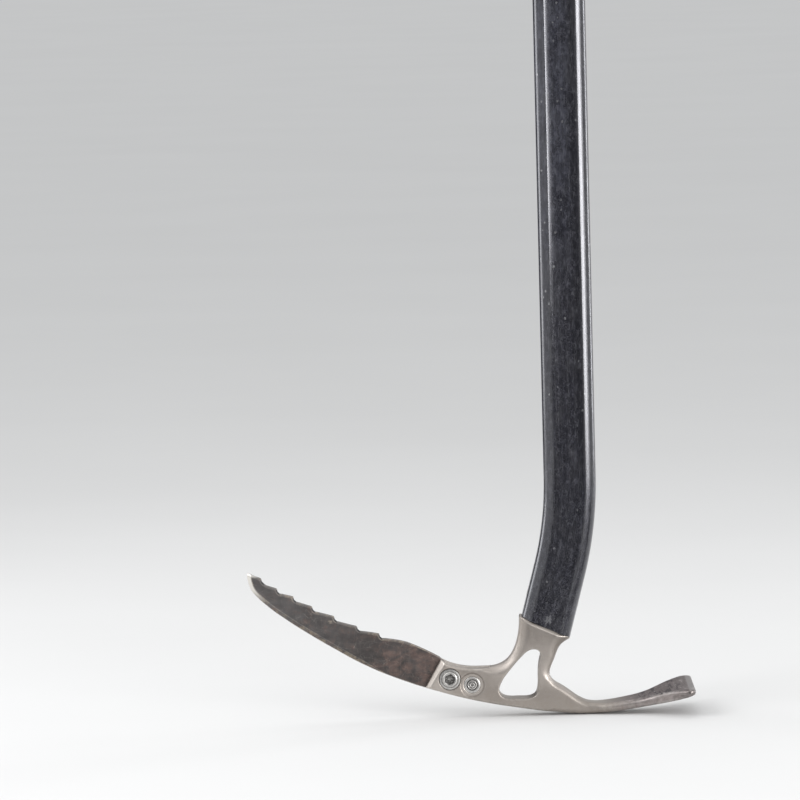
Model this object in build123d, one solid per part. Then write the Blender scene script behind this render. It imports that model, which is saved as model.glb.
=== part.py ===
from build123d import *
import math
import os

# Ice axe, carried head-down.  Millimetres.
# Frame: the origin is the centre of the eye in the spike.  +Z runs up the
# straight part of the shaft to the spike's point, so the head is at the
# bottom.  +X points to the adze, -X to the pick, and Y is across the plate
# thickness, with the whole axe symmetric about Y = 0 but for its fasteners.

# ---------------------------------------------------------------- shaft
SHAFT_W = 31.0           # wide direction, X
SHAFT_D = 20.0           # thin direction, Y
SHAFT_CORNER_R = 7.4     # rounding of the narrow edges
PANEL_W = 17.4           # width of the shallow panel on each flat face
PANEL_STEP = 0.9         # how deep the panel lies under the rails
CORE_W = 27.4            # hollow core of the extrusion
CORE_D = 15.2
CORE_R = 5.8
SHAFT_TOP_Z = -15.0      # cut end at the spike
BEND_Z = -433.5          # the shaft is straight above this height
BEND_R = 215.0           # radius of the bend on the shaft axis
BEND_DEG = 15.0          # total bend towards the pick
END_RUN = 35.0           # straight run from the bend to the head seam
SEAM_TILT_DEG = 9.6      # the seam is cut this far off square

# ---------------------------------------------------------------- head
CHEEK_HALF = 7.0         # half thickness of cheeks and beam
COLLAR_HALF = 10.7       # half depth of the collar at the seam
PICK_T = 4.0             # pick plate thickness
SLOT_T = 4.1             # slot between the cheeks
SLOT_END_X = -50.4       # blind end of the slot
TANG_W = 26.6            # tang inside the shaft core
TANG_D = 14.4
TANG_R = 5.4
TANG_LEN = 33.0
BOND_END = 1.5           # the adhesive stops this far from each end
ADZE_END_HALF = 29.5     # half width of the adze at its edge

# seam corners on the head outline, and the curves of the outline (X, Z)
SEAM_LEFT = (-32.3, -515.2)
SEAM_RIGHT = (-1.2, -529.6)
HEAD_RIGHT = [(-4.8, -531.7), (-7.5, -533.7), (-9.6, -536.7), (-11.2, -540.6),
              (-12.8, -544.4), (-14.2, -547.8), (-14.8, -550.8), (-14.4, -553.4),
              (-12.9, -555.8), (-10.2, -557.8), (-6.9, -559.8), (-4.2, -561.7),
              (-1.9, -563.4), (1.0, -565.6), (4.0, -567.4), (7.2, -568.8),
              (11.0, -569.5), (16.0, -569.7), (22.0, -569.3), (28.7, -568.4),
              (37.4, -566.9), (42.8, -565.6), (48.2, -564.0), (53.7, -562.3),
              (59.2, -560.9), (64.5, -559.9), (70.2, -559.2)]
ADZE_EDGE = [(71.6, -560.0), (71.9, -561.6), (71.2, -562.8)]
HEAD_BOTTOM = [(67.1, -564.2), (61.1, -566.3), (55.1, -568.2), (49.2, -570.0),
               (43.2, -571.5), (37.3, -572.8), (31.5, -573.8), (25.4, -574.7),
               (19.4, -575.4), (12.0, -575.9), (4.1, -576.0), (-6.6, -575.2),
               (-18.0, -573.8), (-30.0, -571.9), (-42.0, -569.9),
               (-54.2, -567.5), (-66.0, -564.7), (-77.9, -561.3)]
CHEEK_FRONT_LOW = (-89.2, -557.8)
CHEEK_FRONT_TOP = (-79.8, -541.4)
CHEEK_TOP = [(-76.4, -543.4), (-72.5, -544.9), (-67.8, -546.1), (-61.8, -546.9),
             (-55.8, -547.0), (-49.8, -546.4), (-44.5, -545.0), (-40.2, -542.4),
             (-37.2, -538.8), (-35.2, -534.9), (-33.9, -531.0), (-33.0, -527.0),
             (-32.5, -523.0), (-32.3, -518.8)]
WINDOW = [(-24.4, -535.8), (-28.0, -537.0), (-30.9, -539.6), (-34.2, -543.1),
          (-38.2, -547.8), (-42.0, -552.6), (-44.6, -557.4), (-45.3, -561.0),
          (-43.6, -564.0), (-40.2, -565.5), (-33.0, -565.8), (-27.0, -565.6),
          (-23.6, -564.0), (-22.2, -560.8), (-21.8, -555.0), (-21.6, -548.6),
          (-20.6, -542.8), (-20.0, -539.4), (-21.4, -536.6)]
# half width of the head seen along Z, against X: parallel, then the adze flares
PLAN = [(14.0, 7.6), (18.0, 8.7), (24.0, 9.7), (31.0, 10.5), (37.0, 11.4),
        (41.0, 12.4), (45.0, 14.0), (50.0, 17.0), (55.0, 20.9), (60.0, 24.7),
        (64.0, 27.6), (67.2, 29.3)]

# ---------------------------------------------------------------- pick
PICK_TIP = (-194.2, -486.3)
TOOTH_EDGE = [(-190.0, -488.4), (-186.2, -489.9), (-185.6, -492.0), (-184.4, -493.2),
              (-182.9, -494.3), (-178.1, -495.9), (-176.9, -496.4), (-176.4, -498.3),
              (-175.2, -499.4), (-173.6, -499.7), (-169.2, -500.8), (-167.2, -501.3),
              (-166.8, -503.3), (-165.5, -504.5), (-164.0, -505.0), (-160.4, -506.2),
              (-156.2, -507.6), (-155.6, -509.6), (-154.4, -510.8), (-152.9, -511.1),
              (-148.2, -512.4), (-143.2, -513.9), (-142.6, -515.9), (-141.4, -517.0),
              (-139.8, -517.4), (-134.4, -519.0), (-129.6, -520.3), (-129.0, -522.2),
              (-127.8, -523.2), (-126.2, -523.4), (-121.0, -524.2), (-116.4, -525.1),
              (-115.8, -527.0), (-114.6, -528.0), (-112.6, -528.1), (-108.2, -528.7),
              (-104.0, -529.5), (-99.8, -530.6), (-95.1, -532.6), (-89.2, -535.4),
              (-85.0, -537.6), (-80.3, -540.2)]
PICK_TANG = [(-76.4, -544.4), (-72.5, -545.9), (-67.8, -547.1), (-61.8, -547.9),
             (-55.8, -548.0), (-51.0, -547.8), (-51.0, -567.2), (-54.2, -566.7),
             (-66.0, -563.9), (-77.9, -560.6), (-88.8, -558.4)]
SPINE = [(-92.7, -557.2), (-98.6, -555.1), (-104.6, -552.8), (-113.5, -549.2),
         (-119.4, -546.6), (-125.3, -543.7), (-130.1, -541.2), (-141.0, -534.8),
         (-151.9, -528.2), (-160.8, -522.5), (-166.7, -518.6), (-172.6, -514.4),
         (-178.5, -510.1), (-184.3, -505.2), (-187.3, -502.5), (-189.6, -500.1),
         (-191.4, -497.9), (-193.1, -494.6), (-194.1, -491.0), (-194.5, -488.2)]

# ---------------------------------------------------------------- fasteners
FRONT_BOLT = (-74.7, -552.9)
REAR_BOLT = (-61.4, -556.6)
SCREW_R = 3.0
CLEAR_R = 3.2
FLANGE_R = 6.2
BUTTON_R = 4.7
COUNTERBORE_R = 6.4
COUNTERBORE_DEEP = 0.9
NUT_R = 4.8
NUT_POCKET_R = 4.95
NUT_POCKET_FLOOR = 3.9   # distance of the pocket floor from Y = 0
RECESS_R = 7.2
RECESS_DEEP = 0.7
WASHER_T = 0.8
HEX_AF = 5.0             # hexagon socket across flats
RIVET_R = 2.5
HEAD_RIVET_S = 17.0      # distance of the head rivet from the seam

# ---------------------------------------------------------------- spike end
EYE_R = 6.0
SPIKE_T = 5.0
SPIKE_TANG_W = 22.0
SPIKE_TANG_END = -62.0
CAP_T = 2.5
CAP_PLUG_END = -45.0
SPIKE_RIVET_Z = -30.0
SPIKE_SHAPE = [(15.0, -12.5), (15.0, -5.0), (13.6, 3.5), (10.4, 11.5), (5.6, 19.5),
               (0.8, 26.6), (-0.8, 26.6), (-5.6, 19.5), (-10.4, 11.5),
               (-13.6, 3.5), (-15.0, -5.0), (-15.0, -12.5)]

# ---------------------------------------------------------------- grip
GRIP_TOP_Z = -17.0
GRIP_END_Z = -148.0
GRIP_W = 35.4
GRIP_D = 24.4
GRIP_R = 9.6
GRIP_LIP_W = 39.0        # swell at the spike end
GRIP_LIP_D = 27.0
GRIP_LIP_R = 11.5
GRIP_LIP_LEN = 9.0

# ---------------------------------------------------------------- foam plug
FOAM_TOP_Z = -396.0
FOAM_LOW_Z = -430.0

# ================================================================ helpers
b = math.radians(BEND_DEG)
bend_end = (-BEND_R * (1 - math.cos(b)), BEND_Z - BEND_R * math.sin(b))
seam_mid = (bend_end[0] - END_RUN * math.sin(b), bend_end[1] - END_RUN * math.cos(b))
s = math.radians(BEND_DEG + SEAM_TILT_DEG)
seam_dir = (math.cos(s), -math.sin(s))          # along the seam, towards the adze

# local plane on the shaft's last straight run: its z looks up the shaft
end_plane = Plane(origin=(seam_mid[0], 0, seam_mid[1]),
                  x_dir=(math.cos(b), 0, -math.sin(b)),
                  z_dir=(math.sin(b), 0, math.cos(b)))
# plane of the seam: its z looks up the shaft
seam_plane = Plane(origin=(seam_mid[0], 0, seam_mid[1]),
                   x_dir=(seam_dir[0], 0, seam_dir[1]),
                   z_dir=(math.sin(s), 0, math.cos(s)))


def xz(points):
    return [(x, 0.0, z) for x, z in points]


def closed_face(curves):
    """Face bounded by a closed run of curves."""
    return make_face([e for c in curves for e in c.edges()])


def plate(face, half):
    """Extrudes a face lying in XZ to both sides of Y = 0."""
    return extrude(face, amount=half, dir=(0, 1, 0), both=True)


def cyl_y(centre, radius, y0, y1):
    """Cylinder along Y between two heights."""
    lo, hi = min(y0, y1), max(y0, y1)
    pl = Plane(origin=(centre[0], lo, centre[1]), x_dir=(1, 0, 0), z_dir=(0, 1, 0))
    return extrude(pl * Circle(radius), amount=hi - lo, dir=(0, 1, 0))


def outer_section():
    """Extrusion's outline: rounded bar with a shallow panel on both flats."""
    f = RectangleRounded(SHAFT_W, SHAFT_D, SHAFT_CORNER_R)
    for side in (1, -1):
        y0 = side * (SHAFT_D / 2 - PANEL_STEP)
        y1 = side * (SHAFT_D / 2 + 1.0)
        h = PANEL_W / 2
        k = (1.0 + PANEL_STEP) * 1.1
        cut = make_face(Polyline((-h, y0), (h, y0), (h + k, y1), (-h - k, y1), close=True))
        f = f - cut
    return f


def core_section():
    return RectangleRounded(CORE_W, CORE_D, CORE_R)


# ================================================================ shaft
def bar(section, top_z):
    """Sweeps a section down the straight run, round the bend and past the seam."""
    start = Plane(origin=(0, 0, top_z), x_dir=(1, 0, 0), z_dir=(0, 0, 1))
    straight = extrude(start * section, amount=top_z - BEND_Z, dir=(0, 0, -1))
    bend_start = Plane(origin=(0, 0, BEND_Z), x_dir=(1, 0, 0), z_dir=(0, 0, 1))
    axis = Axis((-BEND_R, 0, BEND_Z), (0, 1, 0))
    bent = revolve(bend_start * section, axis=axis, revolution_arc=BEND_DEG)
    tail_plane = Plane(origin=(bend_end[0], 0, bend_end[1]),
                       x_dir=end_plane.x_dir, z_dir=end_plane.z_dir)
    tail = extrude(tail_plane * section, amount=END_RUN + 12,
                   dir=(-math.sin(b), 0, -math.cos(b)))
    return straight + bent + tail


shaft_body = bar(outer_section(), SHAFT_TOP_Z)
shaft_core = bar(core_section(), SHAFT_TOP_Z + 5)
below_seam = extrude(seam_plane * Rectangle(90, 60), amount=-60)
shaft = shaft_body - shaft_core - below_seam

# ================================================================ head
profile = closed_face([
    Line((SEAM_LEFT[0], 0, SEAM_LEFT[1]), (SEAM_RIGHT[0], 0, SEAM_RIGHT[1])),
    Spline(*xz([SEAM_RIGHT] + HEAD_RIGHT)),
    Polyline(*xz([HEAD_RIGHT[-1]] + ADZE_EDGE)),
    Spline(*xz([ADZE_EDGE[-1]] + HEAD_BOTTOM + [CHEEK_FRONT_LOW])),
    Line((CHEEK_FRONT_LOW[0], 0, CHEEK_FRONT_LOW[1]), (CHEEK_FRONT_TOP[0], 0, CHEEK_FRONT_TOP[1])),
    Spline(*xz([CHEEK_FRONT_TOP] + CHEEK_TOP + [SEAM_LEFT])),
])
window = closed_face([Spline(*xz(WINDOW), periodic=True)])

# plan view: parallel cheeks and beam, flaring into the adze with round corners
upper = [(x, y) for x, y in PLAN]
corner = [(69.6, 28.9), (71.2, 27.3), (72.1, 24.6)]
plan_pts = [(-95.0, CHEEK_HALF), (8.0, CHEEK_HALF)] + upper + corner
plan = make_face(Polyline(*(plan_pts + [(x, -y) for x, y in reversed(plan_pts)]), close=True))
plan_solid = extrude(Plane.XY.offset(-600) * plan, amount=120)

slab = plate(profile, ADZE_END_HALF + 1)
body = slab & plan_solid
# wedge that thickens the collar towards the seam, seen along X
wedge = make_face(Polyline((0, CHEEK_HALF, -556), (0, 7.6, -546), (0, 9.0, -537),
                           (0, 10.3, -529), (0, COLLAR_HALF, -522), (0, COLLAR_HALF, -505),
                           (0, -COLLAR_HALF, -505), (0, -COLLAR_HALF, -522), (0, -10.3, -529),
                           (0, -9.0, -537), (0, -7.6, -546), (0, -CHEEK_HALF, -556), close=True))
wedge_solid = extrude(wedge, amount=75, dir=(1, 0, 0), both=True)
near_collar = Pos(-20, 0, -530) * Box(60, 40, 52)
collar = plate(profile, COLLAR_HALF + 1) & wedge_solid & near_collar
above_seam = extrude(seam_plane * Rectangle(60, 40), amount=30)
head = body + collar - plate(window, 15) - above_seam

# tang inside the shaft
tang = extrude(end_plane * RectangleRounded(TANG_W, TANG_D, TANG_R), amount=TANG_LEN)
tang_foot = extrude(end_plane * RectangleRounded(TANG_W, TANG_D, TANG_R), amount=-6) & below_seam
tang_above = tang - below_seam
head = head + tang_above + tang_foot
# slot for the pick, open at the front, above and below
head = head - Pos((SLOT_END_X - 60) / 2 - 30 + 0.0, 0, -552) * Box(SLOT_END_X + 60 + 60, SLOT_T, 60)


def seat(centre, side):
    """Counterbore for the button head on one side, nut pocket on the other."""
    out = cyl_y(centre, CLEAR_R, -12, 12)
    out += cyl_y(centre, COUNTERBORE_R, side * (CHEEK_HALF - COUNTERBORE_DEEP), side * 12)
    out += cyl_y(centre, RECESS_R, -side * (CHEEK_HALF - RECESS_DEEP), -side * 12)
    out += cyl_y(centre, NUT_POCKET_R, -side * NUT_POCKET_FLOOR, -side * 12)
    return out


head = head - seat(FRONT_BOLT, -1) - seat(REAR_BOLT, 1)

# cross rivet through the narrow edges of the shaft
rivet_at = (seam_mid[0] + HEAD_RIVET_S * math.sin(b), seam_mid[1] + HEAD_RIVET_S * math.cos(b))
rivet_plane = Plane(origin=(rivet_at[0], 0, rivet_at[1]), x_dir=(0, 1, 0),
                    z_dir=(math.cos(b), 0, -math.sin(b)))
head_rivet = extrude(rivet_plane * Circle(RIVET_R), amount=SHAFT_W / 2, both=True)
head = head - head_rivet
shaft = shaft - head_rivet

# hardened adhesive between the tang and the core of the shaft
bond_ring = core_section() - RectangleRounded(TANG_W, TANG_D, TANG_R)
head_bond = extrude(end_plane.offset(4.5) * bond_ring, amount=TANG_LEN - BOND_END - 4.5)
head_bond = head_bond - head_rivet

# ================================================================ pick
pick_face = closed_face([
    Polyline(*xz([PICK_TIP] + TOOTH_EDGE + PICK_TANG)),
    Spline(*xz([PICK_TANG[-1]] + SPINE)),
    Line((SPINE[-1][0], 0, SPINE[-1][1]), (PICK_TIP[0], 0, PICK_TIP[1])),
])
pick = plate(pick_face, PICK_T / 2)
pick = pick - cyl_y(FRONT_BOLT, CLEAR_R, -5, 5) - cyl_y(REAR_BOLT, CLEAR_R, -5, 5)


# ================================================================ fasteners
def screw(centre, side):
    """Flanged button-head screw, its head on the given side."""
    under = side * (CHEEK_HALF - COUNTERBORE_DEEP)
    body_ = cyl_y(centre, SCREW_R, under, -side * (CHEEK_HALF + 0.3))
    body_ += cyl_y(centre, FLANGE_R, under, under + side * 1.1)
    body_ += cyl_y(centre, BUTTON_R, under, under + side * 2.5)
    pl = Plane(origin=(centre[0], under + side * 0.6, centre[1]), x_dir=(1, 0, 0), z_dir=(0, side, 0))
    body_ -= extrude(pl * RegularPolygon(HEX_AF / 2 / math.cos(math.pi / 6), 6), amount=4)
    return body_


def washer(centre, side):
    f = NUT_POCKET_FLOOR
    return (cyl_y(centre, NUT_R - 0.1, side * f, side * (f + WASHER_T))
            - cyl_y(centre, SCREW_R + 0.15, side * (f - 1), side * (f + 2)))


def nut(centre, side):
    f = NUT_POCKET_FLOOR + WASHER_T
    return (cyl_y(centre, NUT_R, side * f, side * CHEEK_HALF)
            - cyl_y(centre, SCREW_R + 0.05, side * (f - 1), side * 12))


pick_screws = Compound(children=[screw(FRONT_BOLT, -1), screw(REAR_BOLT, 1)])
pick_lock_washers = Compound(children=[washer(FRONT_BOLT, 1), washer(REAR_BOLT, -1)])
pick_nuts = Compound(children=[nut(FRONT_BOLT, 1), nut(REAR_BOLT, -1)])

# ================================================================ spike end
spike_face = make_face(Polyline(*xz(SPIKE_SHAPE), close=True))
spike = plate(spike_face, SPIKE_T / 2)
spike += Pos(0, 0, (SPIKE_TANG_END - 12.5) / 2) * Box(SPIKE_TANG_W, SPIKE_T, -12.5 - SPIKE_TANG_END)
# both faces are ground down towards the point
for side in (1, -1):
    grind = make_face(Polyline((0, side * 0.7, 27.0), (0, side * SPIKE_T / 2, 12.0),
                               (0, side * 6, 12.0), (0, side * 6, 28.0), (0, side * 0.7, 28.0),
                               close=True))
    spike -= extrude(grind, amount=20, dir=(1, 0, 0), both=True)
spike -= cyl_y((0, 0), EYE_R, -6, 6)
spike_rivet = cyl_y((0, SPIKE_RIVET_Z), RIVET_R, -(SHAFT_D / 2 - PANEL_STEP), SHAFT_D / 2 - PANEL_STEP)
spike -= spike_rivet
shaft -= spike_rivet

cap_flange = extrude(Plane.XY.offset(SHAFT_TOP_Z) * RectangleRounded(SHAFT_W, SHAFT_D, SHAFT_CORNER_R),
                     amount=CAP_T)
cap_plug = extrude(Plane.XY.offset(CAP_PLUG_END) * core_section(), amount=SHAFT_TOP_Z - CAP_PLUG_END)
shaft_end_cap = cap_flange + cap_plug
shaft_end_cap -= Pos(0, 0, -30) * Box(SPIKE_TANG_W, SPIKE_T, 60)
shaft_end_cap -= spike_rivet

# ================================================================ grip
grip_len = GRIP_TOP_Z - GRIP_END_Z
grip_sleeve = extrude(Plane.XY.offset(GRIP_END_Z) * RectangleRounded(GRIP_W, GRIP_D, GRIP_R), amount=grip_len)
grip_sleeve += extrude(Plane.XY.offset(GRIP_TOP_Z - GRIP_LIP_LEN)
                       * RectangleRounded(GRIP_LIP_W, GRIP_LIP_D, GRIP_LIP_R), amount=GRIP_LIP_LEN)
grip_sleeve -= extrude(Plane.XY.offset(GRIP_END_Z - 5) * outer_section(), amount=grip_len + 10)

# ================================================================ foam plug
shaft_foam_plug = extrude(Plane.XY.offset(FOAM_LOW_Z) * core_section(), amount=FOAM_TOP_Z - FOAM_LOW_Z)

# ================================================================ output
nodes = {
    "shaft": shaft,
    "head": head,
    "pick": pick,
    "pick_screws": pick_screws,
    "pick_lock_washers": pick_lock_washers,
    "pick_nuts": pick_nuts,
    "head_rivet": head_rivet,
    "head_bond": head_bond,
    "shaft_foam_plug": shaft_foam_plug,
    "spike": spike,
    "spike_rivet": spike_rivet,
    "shaft_end_cap": shaft_end_cap,
    "grip_sleeve": grip_sleeve,
}
os.makedirs("parts", exist_ok=True)
for name, shape in nodes.items():
    shape.label = name
    export_step(shape, "parts/" + name + ".step")
    bb = shape.bounding_box()
    print("%-18s solids %d  volume %9.1f  %s -> %s" % (
        name, len(shape.solids()), shape.volume,
        tuple(round(v, 1) for v in bb.min), tuple(round(v, 1) for v in bb.max)))
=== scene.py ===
import math

import bpy
import numpy as np
from mathutils import Matrix, Vector


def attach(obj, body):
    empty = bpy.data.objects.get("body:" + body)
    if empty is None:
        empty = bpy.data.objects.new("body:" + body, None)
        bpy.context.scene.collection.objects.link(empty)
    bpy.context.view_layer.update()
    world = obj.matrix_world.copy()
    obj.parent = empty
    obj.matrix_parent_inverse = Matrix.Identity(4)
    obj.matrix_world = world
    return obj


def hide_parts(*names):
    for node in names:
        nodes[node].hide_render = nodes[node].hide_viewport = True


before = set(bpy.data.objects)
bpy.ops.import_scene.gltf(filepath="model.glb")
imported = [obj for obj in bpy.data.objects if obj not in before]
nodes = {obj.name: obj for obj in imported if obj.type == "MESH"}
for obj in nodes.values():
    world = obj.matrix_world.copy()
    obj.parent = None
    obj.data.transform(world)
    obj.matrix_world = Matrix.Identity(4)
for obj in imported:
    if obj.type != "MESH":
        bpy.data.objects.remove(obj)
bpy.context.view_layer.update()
MM = 0.001


# ---------------------------------------------------------------- curves in XZ, in mm
def spline(points, step=0.6, periodic=False):
    """Cubic spline through 2D points, sampled about every step."""
    p = np.array(points, float)
    if periodic:
        k = 4
        q = np.vstack([p[-k:], p, p[: k + 1]])
        t = np.concatenate([[0], np.cumsum(np.hypot(*np.diff(q, axis=0).T))])
        a, b = t[k], t[k + len(p)]
    else:
        q = p
        t = np.concatenate([[0], np.cumsum(np.hypot(*np.diff(q, axis=0).T))])
        a, b = t[0], t[-1]
    n = len(q)
    h = np.diff(t)
    A = np.zeros((n, n))
    r = np.zeros((n, 2))
    A[0, 0] = A[-1, -1] = 1.0
    for i in range(1, n - 1):
        A[i, i - 1], A[i, i], A[i, i + 1] = h[i - 1], 2 * (h[i - 1] + h[i]), h[i]
        r[i] = 6 * ((q[i + 1] - q[i]) / h[i] - (q[i] - q[i - 1]) / h[i - 1])
    m = np.linalg.solve(A, r)
    s = np.linspace(a, b, max(3, int((b - a) / step)))
    if periodic:
        s = s[:-1]
    i = np.clip(np.searchsorted(t, s, side="right") - 1, 0, n - 2)
    u = (s - t[i])[:, None]
    hi = h[i][:, None]
    return (
        q[i]
        + u * ((q[i + 1] - q[i]) / hi - hi * (2 * m[i] + m[i + 1]) / 6)
        + u**2 * m[i] / 2
        + u**3 * (m[i + 1] - m[i]) / (6 * hi)
    )


def line_dist(P, L, cell=4.0):
    """Distance from each 2D point to an open polyline, worked out cell by cell."""
    a, b = L[:-1], L[1:]
    d = b - a
    dd = np.maximum((d * d).sum(1), 1e-12)

    def dist(p, k):
        t = np.clip(((p[:, None, :] - a[None, k]) * d[None, k]).sum(2) / dd[None, k], 0, 1)
        e = p[:, None, :] - a[None, k] - t[..., None] * d[None, k]
        return np.sqrt((e * e).sum(2))

    key = np.floor(P / cell).astype(np.int64)
    code = (key[:, 0] + 5000) * 20000 + key[:, 1] + 5000
    order = np.argsort(code, kind="stable")
    cuts = np.concatenate([[0], np.nonzero(np.diff(code[order]))[0] + 1, [len(P)]])
    out = np.empty(len(P))
    reach = cell * 1.4143
    whole = np.arange(len(a))
    for s, e in zip(cuts[:-1], cuts[1:]):
        k = order[s:e]
        mid = (key[k[0]] + 0.5)[None, :] * cell
        m = dist(mid, whole)[0]
        near = np.nonzero(m <= m.min() + reach)[0]
        out[k] = dist(P[k], near).min(1)
    return out


def inside(P, L):
    """Even-odd test of 2D points against a closed polygon."""
    res = np.zeros(len(P), bool)
    x, y = P[:, 0], P[:, 1]
    n = len(L)
    for i in range(n):
        x0, y0 = L[i]
        x1, y1 = L[(i + 1) % n]
        if y0 == y1:
            continue
        m = (y0 > y) != (y1 > y)
        res ^= m & (x < (x1 - x0) * (y - y0) / (y1 - y0) + x0)
    return res


class Field:
    """A 2D function kept on a grid and read back with bilinear interpolation."""

    def __init__(self, x0, x1, y0, y1, step, fn):
        self.x0, self.y0, self.h = x0, y0, step
        self.nx = int((x1 - x0) / step) + 2
        self.ny = int((y1 - y0) / step) + 2
        gx, gy = np.meshgrid(x0 + step * np.arange(self.nx), y0 + step * np.arange(self.ny), indexing="ij")
        self.a = fn(np.stack([gx.ravel(), gy.ravel()], 1)).reshape(self.nx, self.ny)

    def __call__(self, x, y):
        u = np.clip((x - self.x0) / self.h, 0, self.nx - 1.001)
        v = np.clip((y - self.y0) / self.h, 0, self.ny - 1.001)
        i, j = u.astype(int), v.astype(int)
        u, v = u - i, v - j
        a = self.a
        return (a[i, j] * (1 - u) + a[i + 1, j] * u) * (1 - v) + (a[i, j + 1] * (1 - u) + a[i + 1, j + 1] * u) * v


def signed(poly):
    closed = np.vstack([poly, poly[:1]])

    def fn(P):
        d = line_dist(P, closed)
        return np.where(inside(P, poly), -d, d)

    return fn


def smoothstep(a, b, x):
    t = np.clip((x - a) / (b - a), 0, 1)
    return t * t * (3 - 2 * t)


def rmax(a, b, r):
    """Intersection of two distance fields with an edge of radius r."""
    u, v = np.maximum(a + r, 0), np.maximum(b + r, 0)
    return np.minimum(np.maximum(a, b), -r) + np.sqrt(u * u + v * v)


def smin(a, b, k):
    h = np.clip(0.5 + 0.5 * (b - a) / k, 0, 1)
    return b * (1 - h) + a * h - k * h * (1 - h)


# ---------------------------------------------------------------- surface from a distance field
def surface(f, lo, hi, h):
    """Quads on f = 0 inside the box, pulled onto the exact surface."""
    n = [int(math.ceil((hi[k] - lo[k]) / h)) + 1 for k in range(3)]
    ax = [lo[k] + h * np.arange(n[k]) for k in range(3)]
    F = np.empty(n, np.float32)
    for s in range(0, n[0], 24):
        X, Y, Z = np.meshgrid(ax[0][s : s + 24], ax[1], ax[2], indexing="ij")
        F[s : s + 24] = f(X, Y, Z)
    S = F < 0
    cnt = np.zeros([m - 1 for m in n], np.int8)
    for dx in (0, 1):
        for dy in (0, 1):
            for dz in (0, 1):
                cnt += S[dx : n[0] - 1 + dx, dy : n[1] - 1 + dy, dz : n[2] - 1 + dz]
    act = (cnt > 0) & (cnt < 8)
    idx = np.full(act.shape, -1, np.int64)
    I = np.nonzero(act)
    idx[I] = np.arange(len(I[0]))
    pos = np.zeros((len(I[0]), 3))
    num = np.zeros(len(I[0]))
    corners = [(x, y, z) for x in (0, 1) for y in (0, 1) for z in (0, 1)]
    for a in corners:
        for k in range(3):
            if a[k]:
                continue
            b = list(a)
            b[k] = 1
            fa = F[I[0] + a[0], I[1] + a[1], I[2] + a[2]]
            fb = F[I[0] + b[0], I[1] + b[1], I[2] + b[2]]
            m = (fa < 0) != (fb < 0)
            t = fa[m] / (fa[m] - fb[m])
            p = np.tile(np.array(a, float), (m.sum(), 1))
            p[:, k] += t
            pos[m] += p
            num[m] += 1
    P = np.array(lo) + (np.stack(I, 1) + pos / num[:, None]) * h
    quads = []
    for k in range(3):
        o = [0, 0, 0]
        o[k] = 1
        A = S[: n[0] - o[0], : n[1] - o[1], : n[2] - o[2]]
        B = S[o[0] :, o[1] :, o[2] :]
        E = np.nonzero(A != B)
        u, v = (k + 1) % 3, (k + 2) % 3
        ok = (E[u] > 0) & (E[v] > 0) & (E[u] < n[u] - 1) & (E[v] < n[v] - 1)
        E = [e[ok] for e in E]
        flip = A[E[0], E[1], E[2]]

        def cell(du, dv):
            c = [e.copy() for e in E]
            c[u] += du
            c[v] += dv
            return idx[c[0], c[1], c[2]]

        q = np.stack([cell(-1, -1), cell(0, -1), cell(0, 0), cell(-1, 0)], 1)
        q[~flip] = q[~flip][:, ::-1]
        quads.append(q)
    Q = np.vstack(quads)
    edge = np.vstack([Q[:, [0, 1]], Q[:, [1, 2]], Q[:, [2, 3]], Q[:, [3, 0]]])
    for it in range(4):
        if it in (1, 2):
            acc = np.zeros_like(P)
            c = np.zeros(len(P))
            for s, e in ((0, 1), (1, 0)):
                np.add.at(acc, edge[:, s], P[edge[:, e]])
                np.add.at(c, edge[:, s], 1)
            step = acc / c[:, None] - P
            g = gradient(f, P)
            step -= g * (step * g).sum(1)[:, None]
            P = P + 0.5 * step
        for _ in range(2):
            d = f(P[:, 0], P[:, 1], P[:, 2])
            P = P - gradient(f, P) * np.clip(d, -0.5 * h, 0.5 * h)[:, None]
    return P, Q


def gradient(f, P, e=0.03):
    g = np.empty_like(P)
    for k in range(3):
        o = [0.0, 0.0, 0.0]
        o[k] = e
        g[:, k] = f(P[:, 0] + o[0], P[:, 1] + o[1], P[:, 2] + o[2]) - f(P[:, 0] - o[0], P[:, 1] - o[1], P[:, 2] - o[2])
    return g / np.maximum(np.linalg.norm(g, axis=1), 1e-9)[:, None]


def curvature(f, P, e=0.9):
    """Positive on outside edges, negative in hollows, per mm."""
    c = -6 * f(P[:, 0], P[:, 1], P[:, 2])
    for k in range(3):
        o = [0.0, 0.0, 0.0]
        o[k] = e
        c += f(P[:, 0] + o[0], P[:, 1] + o[1], P[:, 2] + o[2]) + f(P[:, 0] - o[0], P[:, 1] - o[1], P[:, 2] - o[2])
    return c / e**2


def make(name, P, faces, material, smooth=True, attrs=None, angle=None):
    me = bpy.data.meshes.new(name)
    me.from_pydata((np.asarray(P) * MM).tolist(), [], [list(map(int, q)) for q in faces])
    me.validate()
    me.polygons.foreach_set("use_smooth", [smooth] * len(me.polygons))
    for key, val in (attrs or {}).items():
        val = np.asarray(val, np.float32)
        kind = "FLOAT" if val.ndim == 1 else "FLOAT_VECTOR"
        a = me.attributes.new(key, kind, "POINT")
        a.data.foreach_set("value" if val.ndim == 1 else "vector", val.ravel())
    if angle is not None:
        me.set_sharp_from_angle(angle=math.radians(angle))
    me.materials.append(material)
    o = bpy.data.objects.new(name, me)
    bpy.context.scene.collection.objects.link(o)
    return o


def place(obj, slot, *replaced):
    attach(obj, "root")
    if replaced:
        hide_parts(*replaced)
    return obj


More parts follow.
